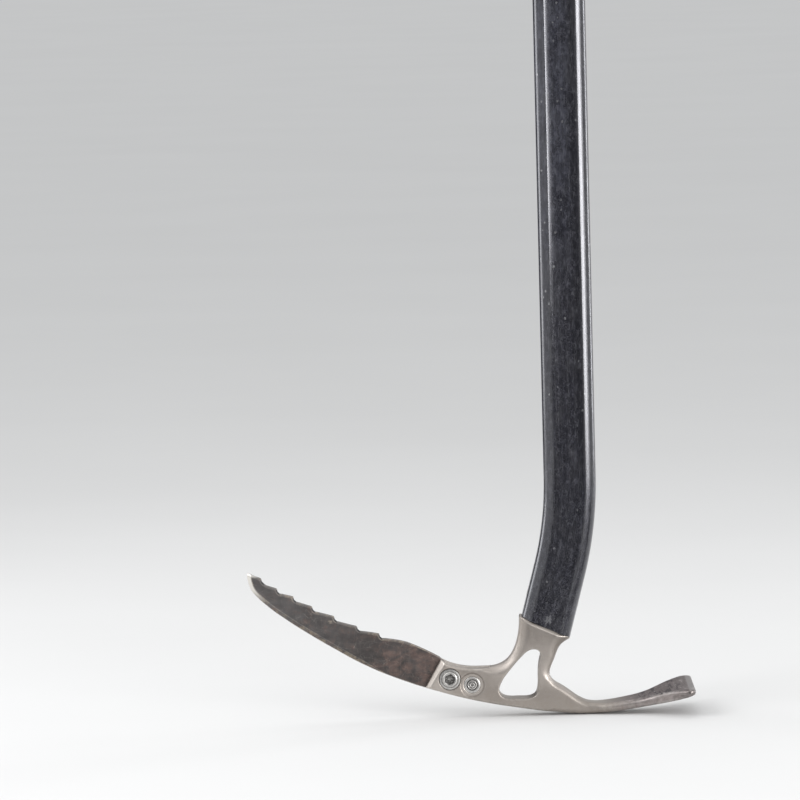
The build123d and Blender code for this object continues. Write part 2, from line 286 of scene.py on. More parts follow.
# ---------------------------------------------------------------- node material helper
class Mat:
    def __init__(self, name):
        self.m = bpy.data.materials.new(name)
        self.m.use_nodes = True
        self.t = self.m.node_tree
        self.t.nodes.clear()
        self.out = self.t.nodes.new("ShaderNodeOutputMaterial")
        self.b = self.t.nodes.new("ShaderNodeBsdfPrincipled")
        self.t.links.new(self.b.outputs[0], self.out.inputs[0])

    def put(self, sock, v):
        if isinstance(v, bpy.types.NodeSocket):
            self.t.links.new(v, sock)
        elif v is not None:
            if sock.type == "RGBA" and len(v) == 3:
                v = (*v, 1.0)
            sock.default_value = v

    def set(self, **kw):
        for k, v in kw.items():
            self.put(self.b.inputs[k.replace("_", " ")], v)

    def obj(self, scale=(1, 1, 1), attr=None, loc=(0, 0, 0)):
        """Position in mm, from the object or from a stored unbent position."""
        if attr:
            a = self.t.nodes.new("ShaderNodeAttribute")
            a.attribute_name = attr
            src = a.outputs["Vector"]
            k = 1.0
        else:
            src = self.t.nodes.new("ShaderNodeTexCoord").outputs["Object"]
            k = 1000.0
        mp = self.t.nodes.new("ShaderNodeMapping")
        mp.inputs["Scale"].default_value = tuple(k * s for s in scale)
        mp.inputs["Location"].default_value = loc
        self.t.links.new(src, mp.inputs["Vector"])
        return mp.outputs[0]

    def attr(self, name):
        a = self.t.nodes.new("ShaderNodeAttribute")
        a.attribute_name = name
        return a.outputs["Fac"]

    def noise(self, vec, scale=1.0, detail=4.0, rough=0.5, dist=0.0):
        n = self.t.nodes.new("ShaderNodeTexNoise")
        n.inputs["Scale"].default_value = scale
        n.inputs["Detail"].default_value = detail
        n.inputs["Roughness"].default_value = rough
        n.inputs["Distortion"].default_value = dist
        self.t.links.new(vec, n.inputs["Vector"])
        return n.outputs["Fac"]

    def voronoi(self, vec, scale=1.0, feature="F1", out="Distance", rand=1.0):
        n = self.t.nodes.new("ShaderNodeTexVoronoi")
        n.feature = feature
        n.inputs["Scale"].default_value = scale
        n.inputs["Randomness"].default_value = rand
        self.t.links.new(vec, n.inputs["Vector"])
        return n.outputs[out]

    def ramp(self, fac, stops, mode="LINEAR"):
        n = self.t.nodes.new("ShaderNodeValToRGB")
        n.color_ramp.interpolation = mode
        e = n.color_ramp.elements
        while len(e) < len(stops):
            e.new(0.5)
        for i, (p, c) in enumerate(stops):
            e[i].position = p
            e[i].color = (c, c, c, 1) if isinstance(c, (int, float)) else (*c, 1)
        self.put(n.inputs[0], fac)
        return n.outputs[0]

    def step(self, x, a, b):
        n = self.t.nodes.new("ShaderNodeMapRange")
        n.interpolation_type = "SMOOTHSTEP"
        n.inputs["From Min"].default_value = a
        n.inputs["From Max"].default_value = b
        self.put(n.inputs["Value"], x)
        return n.outputs[0]

    def map(self, x, a, b, c, d):
        n = self.t.nodes.new("ShaderNodeMapRange")
        for k, v in zip(("From Min", "From Max", "To Min", "To Max"), (a, b, c, d)):
            n.inputs[k].default_value = v
        self.put(n.inputs["Value"], x)
        return n.outputs[0]

    def math(self, op, a, b=None, c=None):
        n = self.t.nodes.new("ShaderNodeMath")
        n.operation = op
        for i, v in enumerate((a, b, c)):
            self.put(n.inputs[i], v)
        return n.outputs[0]

    def mul(self, *v):
        r = v[0]
        for w in v[1:]:
            r = self.math("MULTIPLY", r, w)
        return r

    def add(self, *v):
        r = v[0]
        for w in v[1:]:
            r = self.math("ADD", r, w)
        return r

    def mix(self, fac, a, b, mode="MIX"):
        n = self.t.nodes.new("ShaderNodeMix")
        n.data_type = "RGBA"
        n.blend_type = mode
        n.clamp_factor = True
        self.put(n.inputs[0], fac)
        self.put(n.inputs[6], a)
        self.put(n.inputs[7], b)
        return n.outputs[2]

    def mixf(self, fac, a, b):
        n = self.t.nodes.new("ShaderNodeMix")
        n.data_type = "FLOAT"
        self.put(n.inputs[0], fac)
        self.put(n.inputs[2], a)
        self.put(n.inputs[3], b)
        return n.outputs[0]

    def axis(self, k):
        """One coordinate of the object's position, in mm."""
        s = self.t.nodes.new("ShaderNodeSeparateXYZ")
        self.t.links.new(self.obj(), s.inputs[0])
        return s.outputs[k]

    def bump(self, height, strength, dist, normal=None):
        n = self.t.nodes.new("ShaderNodeBump")
        n.inputs["Strength"].default_value = strength
        n.inputs["Distance"].default_value = dist * MM
        self.put(n.inputs["Height"], height)
        if normal is not None:
            self.t.links.new(normal, n.inputs["Normal"])
        return n.outputs[0]

    def scratches(self, scale, width, seed, attr=None):
        """Thin lines that run along z of the scaled space, 1 on a line."""
        v = self.obj(scale, attr=attr, loc=seed)
        w = self.noise(self.obj(tuple(s * 0.35 for s in scale), attr=attr, loc=seed), 1.0, 2, 0.5)
        d = self.voronoi(v, 1.0, feature="DISTANCE_TO_EDGE")
        line = self.ramp(d, [(0.0, 1.0), (width, 0.0)])
        return self.mul(line, self.step(w, 0.5, 0.62))


# ---------------------------------------------------------------- materials
def mat_shaft():
    m = Mat("shaft_anodised")
    # coordinates follow the shaft round its bend: x', y', distance along it
    long1 = m.noise(m.obj((0.55, 0.55, 0.03), attr="flat"), 1.0, 5, 0.6)
    long2 = m.noise(m.obj((2.6, 2.6, 0.035), attr="flat"), 1.0, 4, 0.6)
    blotch = m.noise(m.obj((0.09, 0.09, 0.05), attr="flat"), 1.0, 5, 0.6)
    fine = m.noise(m.obj((3.2, 3.2, 1.1), attr="flat"), 1.0, 4, 0.7)
    s1 = m.scratches((0.9, 0.9, 0.045), 0.02, (3.1, 7.7, 1.3), attr="flat")
    s2 = m.scratches((1.6, 1.6, 0.16), 0.03, (9.4, 2.2, 5.5), attr="flat")
    tilt = m.scratches((0.35, 0.35, 0.30), 0.006, (1.2, 4.7, 8.1), attr="flat")
    near_head = m.attr("low")
    speck = m.noise(m.obj((1.15, 1.15, 0.75), attr="flat", loc=(5, 5, 5)), 1.0, 3, 0.65)
    speck = m.step(m.add(speck, m.mul(near_head, 0.105)), 0.665, 0.735)
    chip = m.voronoi(m.obj((0.13, 0.13, 0.11), attr="flat", loc=(0.4, 0.1, 0.2)), 1.0)
    chip = m.step(m.add(chip, m.mul(m.noise(m.obj((0.9, 0.9, 0.9), attr="flat"), 1.0, 3, 0.6), 0.16)), 0.165, 0.135)
    # one larger chipped spot just above the head
    fx = m.t.nodes.new("ShaderNodeSeparateXYZ")
    m.t.links.new(m.obj(attr="flat"), fx.inputs[0])
    du = m.math("ADD", fx.outputs[0], 0.3)
    ds = m.mul(m.math("ADD", fx.outputs[2], 86.2), 0.8)
    spot = m.math("SQRT", m.add(m.mul(du, du), m.mul(ds, ds)))
    rag = m.noise(m.obj((0.75, 0.75, 0.60), attr="flat", loc=(7, 1, 4)), 1.0, 4, 0.7)
    front = m.math("LESS_THAN", fx.outputs[1], 0.0)
    spot = m.mul(m.step(m.add(spot, m.mul(rag, 10.0)), 7.0, 6.1), front)
    chip = m.math("MAXIMUM", chip, spot)
    rub = m.attr("edge")
    rub = m.mul(rub, m.step(m.noise(m.obj((0.7, 0.7, 0.06), attr="flat", loc=(2, 8, 3)), 1.0, 4, 0.6), 0.42, 0.62))
    base = m.mix(m.step(long1, 0.35, 0.7), (0.0063, 0.0063, 0.0090), (0.0165, 0.0165, 0.0225))
    base = m.mix(m.mul(m.step(long2, 0.45, 0.75), m.map(near_head, 0.0, 1.0, 0.32, 0.12)), base, (0.033, 0.033, 0.042))
    grit = m.noise(m.obj((1.25, 1.25, 1.05), attr="flat", loc=(3, 9, 2)), 1.0, 3, 0.7)
    base = m.mix(m.mul(m.step(grit, 0.50, 0.64), m.add(0.55, m.mul(near_head, 0.35))), base, (0.059, 0.059, 0.071))
    salt = m.noise(m.obj((2.3, 2.3, 2.0), attr="flat", loc=(8, 3, 6)), 1.0, 2, 0.6)
    base = m.mix(m.mul(m.step(salt, 0.54, 0.64), m.add(0.30, m.mul(near_head, 0.30))), base, (0.112, 0.112, 0.125))
    dots = m.voronoi(m.obj((0.62, 0.62, 0.58), attr="flat", loc=(2.5, 4.5, 0.7)), 1.0)
    where = m.noise(m.obj((0.22, 0.22, 0.16), attr="flat", loc=(6, 6, 1)), 1.0, 3, 0.6)
    dots = m.mul(m.step(dots, 0.25, 0.15), m.step(where, 0.47, 0.58), m.map(near_head, 0.0, 1.0, 0.15, 0.85))
    base = m.mix(m.mul(m.step(blotch, 0.42, 0.7), 0.45), base, (0.026, 0.025, 0.026))
    # towards the grip the left of the flat turns a lighter blue-grey, partly anodising tone and partly painted sheen,
    # and the right of the flat gets a band of painted shade
    upper = m.step(fx.outputs[2], 90.0, 200.0)
    base = m.mix(m.mul(upper, m.step(fx.outputs[0], 6.5, 0.5), m.step(blotch, 0.30, 0.60), 0.42), base, (0.062, 0.065, 0.086))
    # painted shade: darker along the right side of the flat, above the bend
    base = m.mix(m.mul(m.step(fx.outputs[0], 2.5, 6.5), m.step(fx.outputs[2], -30.0, 60.0), 0.5), base, (0.010, 0.010, 0.011))
    mott = m.noise(m.obj((0.50, 0.50, 0.24), attr="flat", loc=(1, 5, 9)), 1.0, 4, 0.62)
    base = m.mix(m.mul(m.step(mott, 0.56, 0.42), 0.52), base, (0.0045, 0.0045, 0.0060))
    base = m.mix(m.mul(m.step(mott, 0.56, 0.68), 0.36), base, (0.075, 0.075, 0.086))
    base = m.mix(m.mul(s1, 0.55), base, (0.10, 0.10, 0.105))
    base = m.mix(m.mul(s2, 0.50), base, (0.09, 0.09, 0.095))
    base = m.mix(m.mul(tilt, 0.5), base, (0.16, 0.16, 0.16))
    base = m.mix(m.mul(speck, 0.62), base, (0.15, 0.15, 0.155))
    base = m.mix(m.mul(dots, 0.60), base, (0.15, 0.15, 0.16))
    base = m.mix(m.mul(rub, 0.35), base, (0.16, 0.16, 0.17))
    base = m.mix(chip, base, (0.27, 0.27, 0.28))
    bare = m.math("MAXIMUM", m.math("MAXIMUM", m.mul(speck, 0.5), m.mul(rub, 0.5)), chip)
    m.set(Base_Color=base, Metallic=m.mul(bare, 0.8),
          Roughness=m.add(m.map(long2, 0.3, 0.7, 0.18, 0.28), m.mul(m.step(blotch, 0.4, 0.7), 0.07)),
          IOR=1.62, Specular_Tint=(0.90, 0.905, 1.0))
    m.b.inputs["Coat Weight"].default_value = 0.5
    m.b.inputs["Coat Roughness"].default_value = 0.14
    m.b.inputs["Coat IOR"].default_value = 1.6
    h = m.add(m.mul(fine, 0.7), m.mul(long2, 0.45), m.mul(grit, 0.45), m.mul(salt, 0.30), m.mul(s1, -0.6), m.mul(s2, -0.5), m.mul(chip, -1.5))
    m.set(Normal=m.bump(h, 0.35, 0.05))
    return m.m


def mat_head():
    m = Mat("head_forging")
    x = m.axis(0)
    adze = m.step(x, 14.0, 40.0)
    cloud = m.noise(m.obj((0.06, 0.06, 0.06)), 1.0, 5, 0.55)
    mid = m.noise(m.obj((0.35, 0.35, 0.35), loc=(4, 9, 1)), 1.0, 5, 0.6)
    grain = m.noise(m.obj((2.4, 2.4, 2.4)), 1.0, 3, 0.6)
    pit = m.voronoi(m.obj((0.8, 0.8, 0.8)), 1.0)
    pit = m.step(m.add(pit, m.mul(mid, 0.5)), 0.42, 0.30)
    edge = m.attr("edge")
    cav = m.attr("cav")
    sand = m.mix(m.step(cloud, 0.36, 0.66), (0.335, 0.299, 0.268), (0.395, 0.357, 0.324))
    sand = m.mix(m.mul(m.step(mid, 0.50, 0.72), 0.35), sand, (0.290, 0.252, 0.222))
    z = m.axis(2)
    # painted light: the arms and neck round the window are made lighter where light falls on them
    arms = m.mul(m.step(z, -523.0, -537.0), m.step(z, -562.0, -550.0), m.step(x, -54.0, -46.0))
    sand = m.mix(m.mul(arms, 0.60), sand, (0.475, 0.433, 0.398))
    sand = m.mix(m.mul(m.step(x, -57.0, -78.0), 0.62), sand, (0.475, 0.427, 0.384))
    # painted shade: darker on the collar's right side and over the lower beam towards the adze's root
    sand = m.mix(m.mul(m.step(x, -17.0, -7.0), m.step(z, -552.0, -543.0), 0.55), sand, (0.235, 0.210, 0.190))
    sand = m.mix(m.mul(m.step(x, -36.0, -16.0), m.step(z, -556.0, -565.0), 0.55), sand, (0.285, 0.254, 0.228))
    sand = m.mix(m.mul(pit, 0.35), sand, (0.20, 0.170, 0.146))
    steel = m.mix(m.step(mid, 0.35, 0.68), (0.262, 0.230, 0.220), (0.372, 0.330, 0.317))
    far = m.step(x, 54.0, 68.0)
    steel = m.mix(m.mul(far, 0.85), steel, m.mix(m.step(mid, 0.35, 0.68), (0.150, 0.132, 0.127), (0.225, 0.199, 0.192)))
    # painted shade: the adze's up-facing faces are made much darker, as a painted dark reflection
    steel = m.mix(m.mul(m.attr("top"), 0.88), steel, m.mix(m.step(mid, 0.35, 0.66), (0.085, 0.071, 0.070), (0.150, 0.128, 0.127)))
    # galled dark marks and lengthwise scratches on the adze's working face
    gall = m.noise(m.obj((0.34, 0.060, 0.3), loc=(7.3, 1.9, 4.0)), 1.0, 6, 0.68, 0.6)
    zone = m.mul(m.step(x, 30.0, 42.0), m.step(x, 70.0, 60.0), m.attr("top"))
    gall = m.mul(m.step(gall, 0.53, 0.60), zone)
    steel = m.mix(m.mul(gall, 0.85), steel, (0.062, 0.058, 0.060))
    sc = m.noise(m.obj((0.10, 0.16, 2.2), loc=(1, 2, 3)), 1.0, 4, 0.6)
    steel = m.mix(m.mul(m.step(sc, 0.56, 0.70), 0.45), steel, (0.50, 0.47, 0.455))
    base = m.mix(adze, sand, steel)
    # rubbed rims
    worn = m.mul(edge, m.step(m.noise(m.obj((0.45, 0.45, 0.45), loc=(2, 2, 7)), 1.0, 4, 0.6), 0.30, 0.62))
    base = m.mix(m.mul(worn, m.mixf(adze, 0.34, 0.50), m.map(far, 0.0, 1.0, 1.0, 0.20)), base, m.mix(adze, (0.60, 0.56, 0.52), (0.56, 0.53, 0.51)))
    base = m.mix(m.mul(m.attr("bevel"), 0.8), base, (0.56, 0.515, 0.475))
    # painted shade: darker in the hollows and as a thin dark outline round each screw seat
    base = m.mix(m.mul(cav, 0.55), base, (0.11, 0.09, 0.075))
    s1 = m.scratches((0.10, 0.30, 0.30), 0.010, (3.3, 1.1, 5.1))
    s2 = m.scratches((0.33, 0.20, 0.12), 0.008, (8.2, 6.4, 2.7))
    base = m.mix(m.mul(m.math("MAXIMUM", s1, s2), 0.38), base, (0.60, 0.57, 0.54))
    # less metal and a darker specular tint on the adze's up-facing faces carry the same painted dark reflection
    metal = m.add(m.mul(adze, 0.05), m.mul(worn, 0.05), m.mul(m.attr("top"), m.mul(adze, -0.55)), 0.88)
    topa = m.mul(m.attr("top"), adze)
    rough = m.add(m.map(mid, 0.3, 0.7, 0.44, 0.53), m.mul(worn, -0.06), m.mul(adze, -0.08), m.mul(gall, 0.12), m.mul(topa, 0.12))
    m.set(Base_Color=base, Metallic=metal, Roughness=rough, IOR=1.4, Specular_Tint=m.mix(topa, (1.0, 1.0, 1.0), (0.42, 0.37, 0.37)))
    h = m.add(m.mul(grain, 0.55), m.mul(mid, 1.1), m.mul(pit, -0.8), m.mul(gall, -1.6), m.mul(m.math("MAXIMUM", s1, s2), -0.7), m.mul(sc, m.mul(adze, 0.5)))
    m.set(Normal=m.bump(h, 0.40, 0.09))
    return m.m


def mat_pick():
    m = Mat("pick_plate")
    x = m.axis(0)
    cloud = m.noise(m.obj((0.07, 0.2, 0.09)), 1.0, 5, 0.6)
    mid = m.noise(m.obj((0.4, 0.4, 0.4), loc=(1, 6, 2)), 1.0, 6, 0.65)
    grain = m.noise(m.obj((2.8, 2.8, 2.8)), 1.0, 3, 0.6)
    edge = m.attr("edge")
    bevel = m.attr("bevel")
    tip = m.attr("tip")
    rustn = m.noise(m.obj((0.15, 0.3, 0.18), loc=(6.1, 0.4, 3.3)), 1.0, 7, 0.72, 0.4)
    near = m.step(x, -128.0, -92.0)
    rust = m.step(m.add(rustn, m.mul(near, 0.13), m.mul(bevel, 0.06)), 0.47, 0.76)
    base = m.mix(m.step(cloud, 0.36, 0.66), (0.057, 0.051, 0.049), (0.089, 0.079, 0.076))
    base = m.mix(m.mul(m.step(mid, 0.48, 0.7), 0.4), base, (0.114, 0.099, 0.092))
    base = m.mix(m.mul(m.step(x, -120.0, -172.0), 0.62), base, m.mix(m.step(cloud, 0.36, 0.66), (0.105, 0.099, 0.098), (0.152, 0.144, 0.143)))
    base = m.mix(m.mul(rust, 0.70), base, m.mix(m.step(mid, 0.4, 0.65), (0.118, 0.074, 0.062), (0.166, 0.105, 0.086)))
    ochre = m.noise(m.obj((0.30, 0.3, 0.30), loc=(9, 9, 4)), 1.0, 5, 0.6)
    rim = m.mul(m.math("MAXIMUM", edge, m.mul(bevel, 0.55)), m.step(ochre, 0.46, 0.62))
    base = m.mix(m.mul(rim, 0.62), base, (0.44, 0.36, 0.25))
    base = m.mix(m.mul(edge, 0.35), base, (0.42, 0.40, 0.37))
    base = m.mix(tip, base, (0.74, 0.71, 0.66))
    sc = m.scratches((0.11, 0.5, 0.42), 0.012, (2.3, 1.7, 8.8))
    sc2 = m.scratches((0.34, 0.5, 0.10), 0.010, (5.3, 3.7, 1.8))
    sc = m.math("MAXIMUM", sc, m.mul(sc2, 0.8))
    scuff = m.voronoi(m.obj((0.055, 0.2, 0.075), loc=(0.62, 0.1, 0.35)), 1.0)
    scuff = m.mul(m.step(m.add(scuff, m.mul(mid, 0.20)), 0.24, 0.16), m.step(mid, 0.42, 0.62))
    base = m.mix(m.mul(sc, 0.40), base, (0.46, 0.42, 0.38))
    base = m.mix(m.mul(scuff, 0.55), base, (0.50, 0.43, 0.34))
    # painted shadow: near-black at each tooth notch, where shade falls behind the tooth
    base = m.mix(m.mul(m.attr("notch"), 0.92), base, (0.014, 0.012, 0.012))
    m.set(Base_Color=base,
          Metallic=m.add(0.45, m.mul(tip, 0.4), m.mul(rust, -0.20)),
          Roughness=m.add(m.map(mid, 0.3, 0.7, 0.40, 0.55), m.mul(rust, 0.12), m.mul(tip, -0.15)), IOR=1.5)
    h = m.add(m.mul(grain, 0.5), m.mul(mid, 1.0), m.mul(rust, m.mul(mid, 0.9)), m.mul(sc, -0.6), m.mul(scuff, -0.5))
    m.set(Normal=m.bump(h, 0.38, 0.08))
    return m.m


def mat_bright(name, tone=(0.66, 0.645, 0.62), rough=0.22, dirt_and_shade=0.5):
    m = Mat(name)
    mid = m.noise(m.obj((0.9, 0.9, 0.9)), 1.0, 5, 0.6)
    fine = m.noise(m.obj((4.5, 4.5, 4.5)), 1.0, 3, 0.6)
    cav = m.attr("cav")
    base = m.mix(m.step(mid, 0.4, 0.68), tone, tuple(c * 0.72 for c in tone))
    # grime and painted shade: sockets, gaps and recesses of the turned parts are darkened by their hollow value
    grime_and_shade = m.math("MAXIMUM", m.mul(cav, m.step(mid, 0.30, 0.55)), m.step(cav, 0.8, 0.98))
    base = m.mix(m.mul(grime_and_shade, dirt_and_shade), base, (0.030, 0.026, 0.024))
    sc = m.scratches((0.5, 1.2, 1.2), 0.02, (1.3, 2.7, 0.8))
    base = m.mix(m.mul(sc, 0.3), base, (0.85, 0.84, 0.82))
    m.set(Base_Color=base, Metallic=m.map(grime_and_shade, 0.0, 1.0, 0.96, 0.45),
          Roughness=m.add(m.map(mid, 0.3, 0.7, rough, rough + 0.14), m.mul(grime_and_shade, 0.3)))
    m.set(Normal=m.bump(m.add(fine, m.mul(mid, 0.8), m.mul(sc, -0.8)), 0.25, 0.04))
    return m.m


def mat_spike():
    m = Mat("spike_steel")
    mid = m.noise(m.obj((0.3, 0.3, 0.3), loc=(3, 1, 8)), 1.0, 6, 0.62)
    grain = m.noise(m.obj((0.5, 2.0, 4.0)), 1.0, 4, 0.6)
    rustn = m.noise(m.obj((0.12, 0.12, 0.12), loc=(1, 4, 4)), 1.0, 6, 0.65)
    edge = m.attr("edge")
    rust = m.step(rustn, 0.56, 0.68)
    base = m.mix(m.step(mid, 0.35, 0.68), (0.20, 0.188, 0.178), (0.34, 0.32, 0.30))
    base = m.mix(m.mul(rust, 0.6), base, (0.20, 0.115, 0.075))
    base = m.mix(m.mul(edge, 0.5), base, (0.56, 0.53, 0.50))
    m.set(Base_Color=base, Metallic=m.map(rust, 0, 1, 0.85, 0.3), Roughness=m.add(m.map(mid, 0.3, 0.7, 0.30, 0.46), m.mul(rust, 0.2)))
    m.set(Normal=m.bump(m.add(grain, mid), 0.35, 0.06))
    return m.m


def mat_rubber():
    m = Mat("grip_rubber")
    mid = m.noise(m.obj((0.15, 0.15, 0.15)), 1.0, 5, 0.6)
    grain = m.noise(m.obj((2.5, 2.5, 2.5)), 1.0, 4, 0.65)
    edge = m.attr("edge")
    base = m.mix(m.step(mid, 0.35, 0.7), (0.016, 0.016, 0.017), (0.034, 0.033, 0.033))
    dust = m.mul(edge, m.step(grain, 0.42, 0.62))
    base = m.mix(m.mul(dust, 0.45), base, (0.13, 0.125, 0.12))
    m.set(Base_Color=base, Roughness=m.map(mid, 0.3, 0.7, 0.62, 0.80), IOR=1.5)
    m.b.inputs["Sheen Weight"].default_value = 0.12
    m.set(Normal=m.bump(m.add(grain, m.mul(mid, 0.4)), 0.4, 0.08))
    return m.m


def mat_plastic(name, lo, hi, rough=0.5):
    m = Mat(name)
    mid = m.noise(m.obj((0.25, 0.25, 0.25)), 1.0, 5, 0.6)
    grain = m.noise(m.obj((2.2, 2.2, 2.2)), 1.0, 4, 0.6)
    m.set(Base_Color=m.mix(m.step(mid, 0.35, 0.7), lo, hi), Roughness=m.map(mid, 0.3, 0.7, rough, rough + 0.15), IOR=1.48)
    m.set(Normal=m.bump(m.add(grain, mid), 0.35, 0.06))
    return m.m


def mat_floor():
    m = Mat("studio_floor")
    n = m.noise(m.obj((0.004, 0.004, 0.004)), 1.0, 3, 0.5)
    m.set(Base_Color=m.mix(n, (0.70, 0.697, 0.692), (0.73, 0.727, 0.722)), Roughness=0.9)
    m.b.inputs["Specular IOR Level"].default_value = 0.0
    return m.m


M_SHAFT, M_HEAD, M_PICK = mat_shaft(), mat_head(), mat_pick()
M_BRIGHT = mat_bright("fastener_plated", (0.63, 0.615, 0.592), 0.32, 0.92)
M_RIVET = mat_bright("rivet_plain", (0.46, 0.45, 0.43), 0.34, 0.4)
M_SPIKE, M_RUBBER = mat_spike(), mat_rubber()
M_CAP = mat_plastic("cap_nylon", (0.020, 0.020, 0.021), (0.036, 0.035, 0.035))
M_GLUE = mat_plastic("set_adhesive", (0.42, 0.33, 0.16), (0.52, 0.43, 0.24), 0.35)
M_FOAM = mat_plastic("closed_foam", (0.70, 0.68, 0.60), (0.80, 0.78, 0.71), 0.75)

# ---------------------------------------------------------------- shaft axis
B = math.radians(15.0)
BEND_Z, BEND_R, RUN = -433.5, 215.0, 35.0
SEAM = math.radians(24.6)
bend_end = np.array([-BEND_R * (1 - math.cos(B)), BEND_Z - BEND_R * math.sin(B)])
seam_mid = bend_end - RUN * np.array([math.sin(B), math.cos(B)])
AX = np.array([math.sin(B), math.cos(B)])   # up the shaft's last run
PX = np.array([math.cos(B), -math.sin(B)])  # across it, towards the adze
SN = np.array([math.sin(SEAM), math.cos(SEAM)])  # normal of the seam, up the shaft


def section(n_panel=44, n_round=26, corner=7.4, w=15.5, d=10.0, depth=0.92, half=9.4):
    """Outline of the extrusion, counter-clockwise, with the convexity of each point."""
    cx = w - corner
    xs = half * np.sin(np.linspace(0, math.pi / 2, n_panel // 2 + 1))
    top = [(x, d - 0.05 - (depth - 0.05) * (1 - (0.45 * (x / half) ** 2 + 0.55 * (x / half) ** 5))) for x in xs[:-1]]
    e = [0.0] * (len(top) - 3) + [0.35, 0.7, 1.0]
    t0 = math.asin(max(0.0, (half - cx)) / corner)
    for t in np.linspace(t0, math.pi / 2, n_round):
        top.append((cx + corner * math.sin(t), d - corner + corner * math.cos(t)))
        e.append(max(0.0, 1.0 - abs(t - t0) / 0.25) + 0.25)
    top[n_panel // 2] = (half, d - 0.06)
    quarter = np.array(top)
    right = np.vstack([quarter, quarter[::-1] * [1, -1]])
    er = np.array(e + e[::-1])
    left = right[::-1] * [-1, 1]
    P = np.vstack([right, left[1:-1]])
    E = np.concatenate([er, er[::-1][1:-1]])
    return P[::-1], E[::-1]


def station(s):
    """Point on the axis and its directions, s mm above the bend's start (negative below)."""
    if s >= 0:
        return np.array([0.0, BEND_Z + s]), np.array([0.0, 1.0]), np.array([1.0, 0.0])
    a = min(-s / BEND_R, B)
    p = np.array([-BEND_R * (1 - math.cos(a)), BEND_Z - BEND_R * math.sin(a)])
    ax = np.array([math.sin(a), math.cos(a)])
    px = np.array([math.cos(a), -math.sin(a)])
    rest = -s - a * BEND_R
    return p - ax * rest, ax, px


ARC = B * BEND_R
S_SEAM = -(ARC + RUN)


def tube(outer, E, core, top_s, lip=0.35):
    """Closed hollow tube that follows the shaft's axis and ends on the seam."""
    ss = list(np.arange(top_s, 0, -6.0)) + list(np.linspace(0, -ARC, 34))
    ss += list(np.linspace(-ARC, -ARC - RUN + 10.0, 12)[1:])
    V, F, flat, edge = [], [], [], []
    n = len(outer)

    def ring(prof, s, seam=None, inset=0.0, ev=None):
        p, ax, px = station(s)
        q = prof * (1 - inset / 12.0)
        if prof is outer:
            fl = 0.20 + 0.80 * smoothstep(10.0, 180.0, s)
            m = (np.abs(q[:, 0]) < 9.5) & (q[:, 1] < 0)
            k = 1 - (1 - fl) * smoothstep(9.0, -9.0, q[:, 0])
            full = -2.6 - np.sqrt(np.maximum(7.4**2 - np.maximum(np.abs(q[:, 0]) - 8.1, 0) ** 2, 0))
            q = np.column_stack([q[:, 0], np.where(m, full + (q[:, 1] - full) * k, q[:, 1])])
        for i, (u, v) in enumerate(q):
            k = 0.0
            c = p + px * u
            if seam is not None:
                k = -np.dot(c - seam_mid, SN) / np.dot(ax, SN) + seam
            c = c + ax * k
            V.append((c[0], v, c[1]))
            flat.append((u, v, s + k))
            edge.append(0.0 if ev is None else ev[i])

    def join(a, b):
        for i in range(n):
            j = (i + 1) % n
            F.append((a + i, a + j, b + j, b + i))

    rings = 0
    plan = [(core, top_s, None, 0, None), (outer, top_s, None, lip, None), (outer, top_s - lip, None, 0, E)]
    plan += [(outer, s, None, 0, E) for s in ss[1:]]
    plan += [(outer, S_SEAM, 0.5, 0, E), (outer, S_SEAM, 0.12, 0.0, E), (outer, S_SEAM, 0.0, 0.12, None), (core, S_SEAM, 0.0, 0, None)]
    plan += [(core, s, None, 0, None) for s in ss[::-1][:-1]]
    starts = []
    for prof, s, seam, inset, ev in plan:
        starts.append(len(V))
        ring(prof, s, seam, inset, ev)
    for a, b in zip(starts, starts[1:]):
        join(a, b)
    join(starts[-1], starts[0])
    return np.array(V), F, np.array(flat), np.array(edge)


outer, E = section()
ang = np.arctan2(outer[:, 1] / 10.0, outer[:, 0] / 15.5)
core = np.stack([13.7 * np.sign(np.cos(ang)) * np.abs(np.cos(ang)) ** 0.62, 7.6 * np.sign(np.sin(ang)) * np.abs(np.sin(ang)) ** 0.62], 1)
V, F, flat, edge = tube(outer, E, core, -15.0 - BEND_Z)
low = smoothstep(-20.0, -110.0, flat[:, 2])
shaft = make("shaft_tube", V, F, M_SHAFT, attrs={"flat": flat, "edge": edge, "low": low}, angle=40)
place(shaft, "shaft_alloy", "shaft")

# ---------------------------------------------------------------- head
SEAM_LEFT, SEAM_RIGHT = (-32.3, -515.2), (-1.2, -529.6)
HEAD_RIGHT = [(-4.8, -531.7), (-7.5, -533.7), (-9.6, -536.7), (-11.2, -540.6),
              (-12.8, -544.4), (-14.2, -547.8), (-14.8, -550.8), (-14.4, -553.4),
              (-12.9, -555.8), (-10.2, -557.8), (-6.9, -559.8), (-4.2, -561.7),
              (-1.9, -563.4), (1.0, -565.6), (4.0, -567.4), (7.2, -568.8),
              (11.0, -569.5), (16.0, -569.7), (22.0, -569.3), (28.7, -568.4),
              (37.4, -566.9), (42.8, -565.6), (48.2, -564.0), (53.7, -562.3),
              (59.2, -560.9), (64.5, -559.9), (70.2, -559.2)]
ADZE_EDGE = [(71.6, -560.0), (71.9, -561.6), (71.2, -562.8)]
HEAD_BOTTOM = [(67.1, -564.2), (61.1, -566.3), (55.1, -568.2), (49.2, -570.0),
               (43.2, -571.5), (37.3, -572.8), (31.5, -573.8), (25.4, -574.7),
               (19.4, -575.4), (12.0, -575.9), (4.1, -576.0), (-6.6, -575.2),
               (-18.0, -573.8), (-30.0, -571.9), (-42.0, -569.9),
               (-54.2, -567.5), (-66.0, -564.7), (-77.9, -561.3)]
CHEEK_LOW, CHEEK_HIGH = (-89.2, -557.8), (-79.8, -541.4)
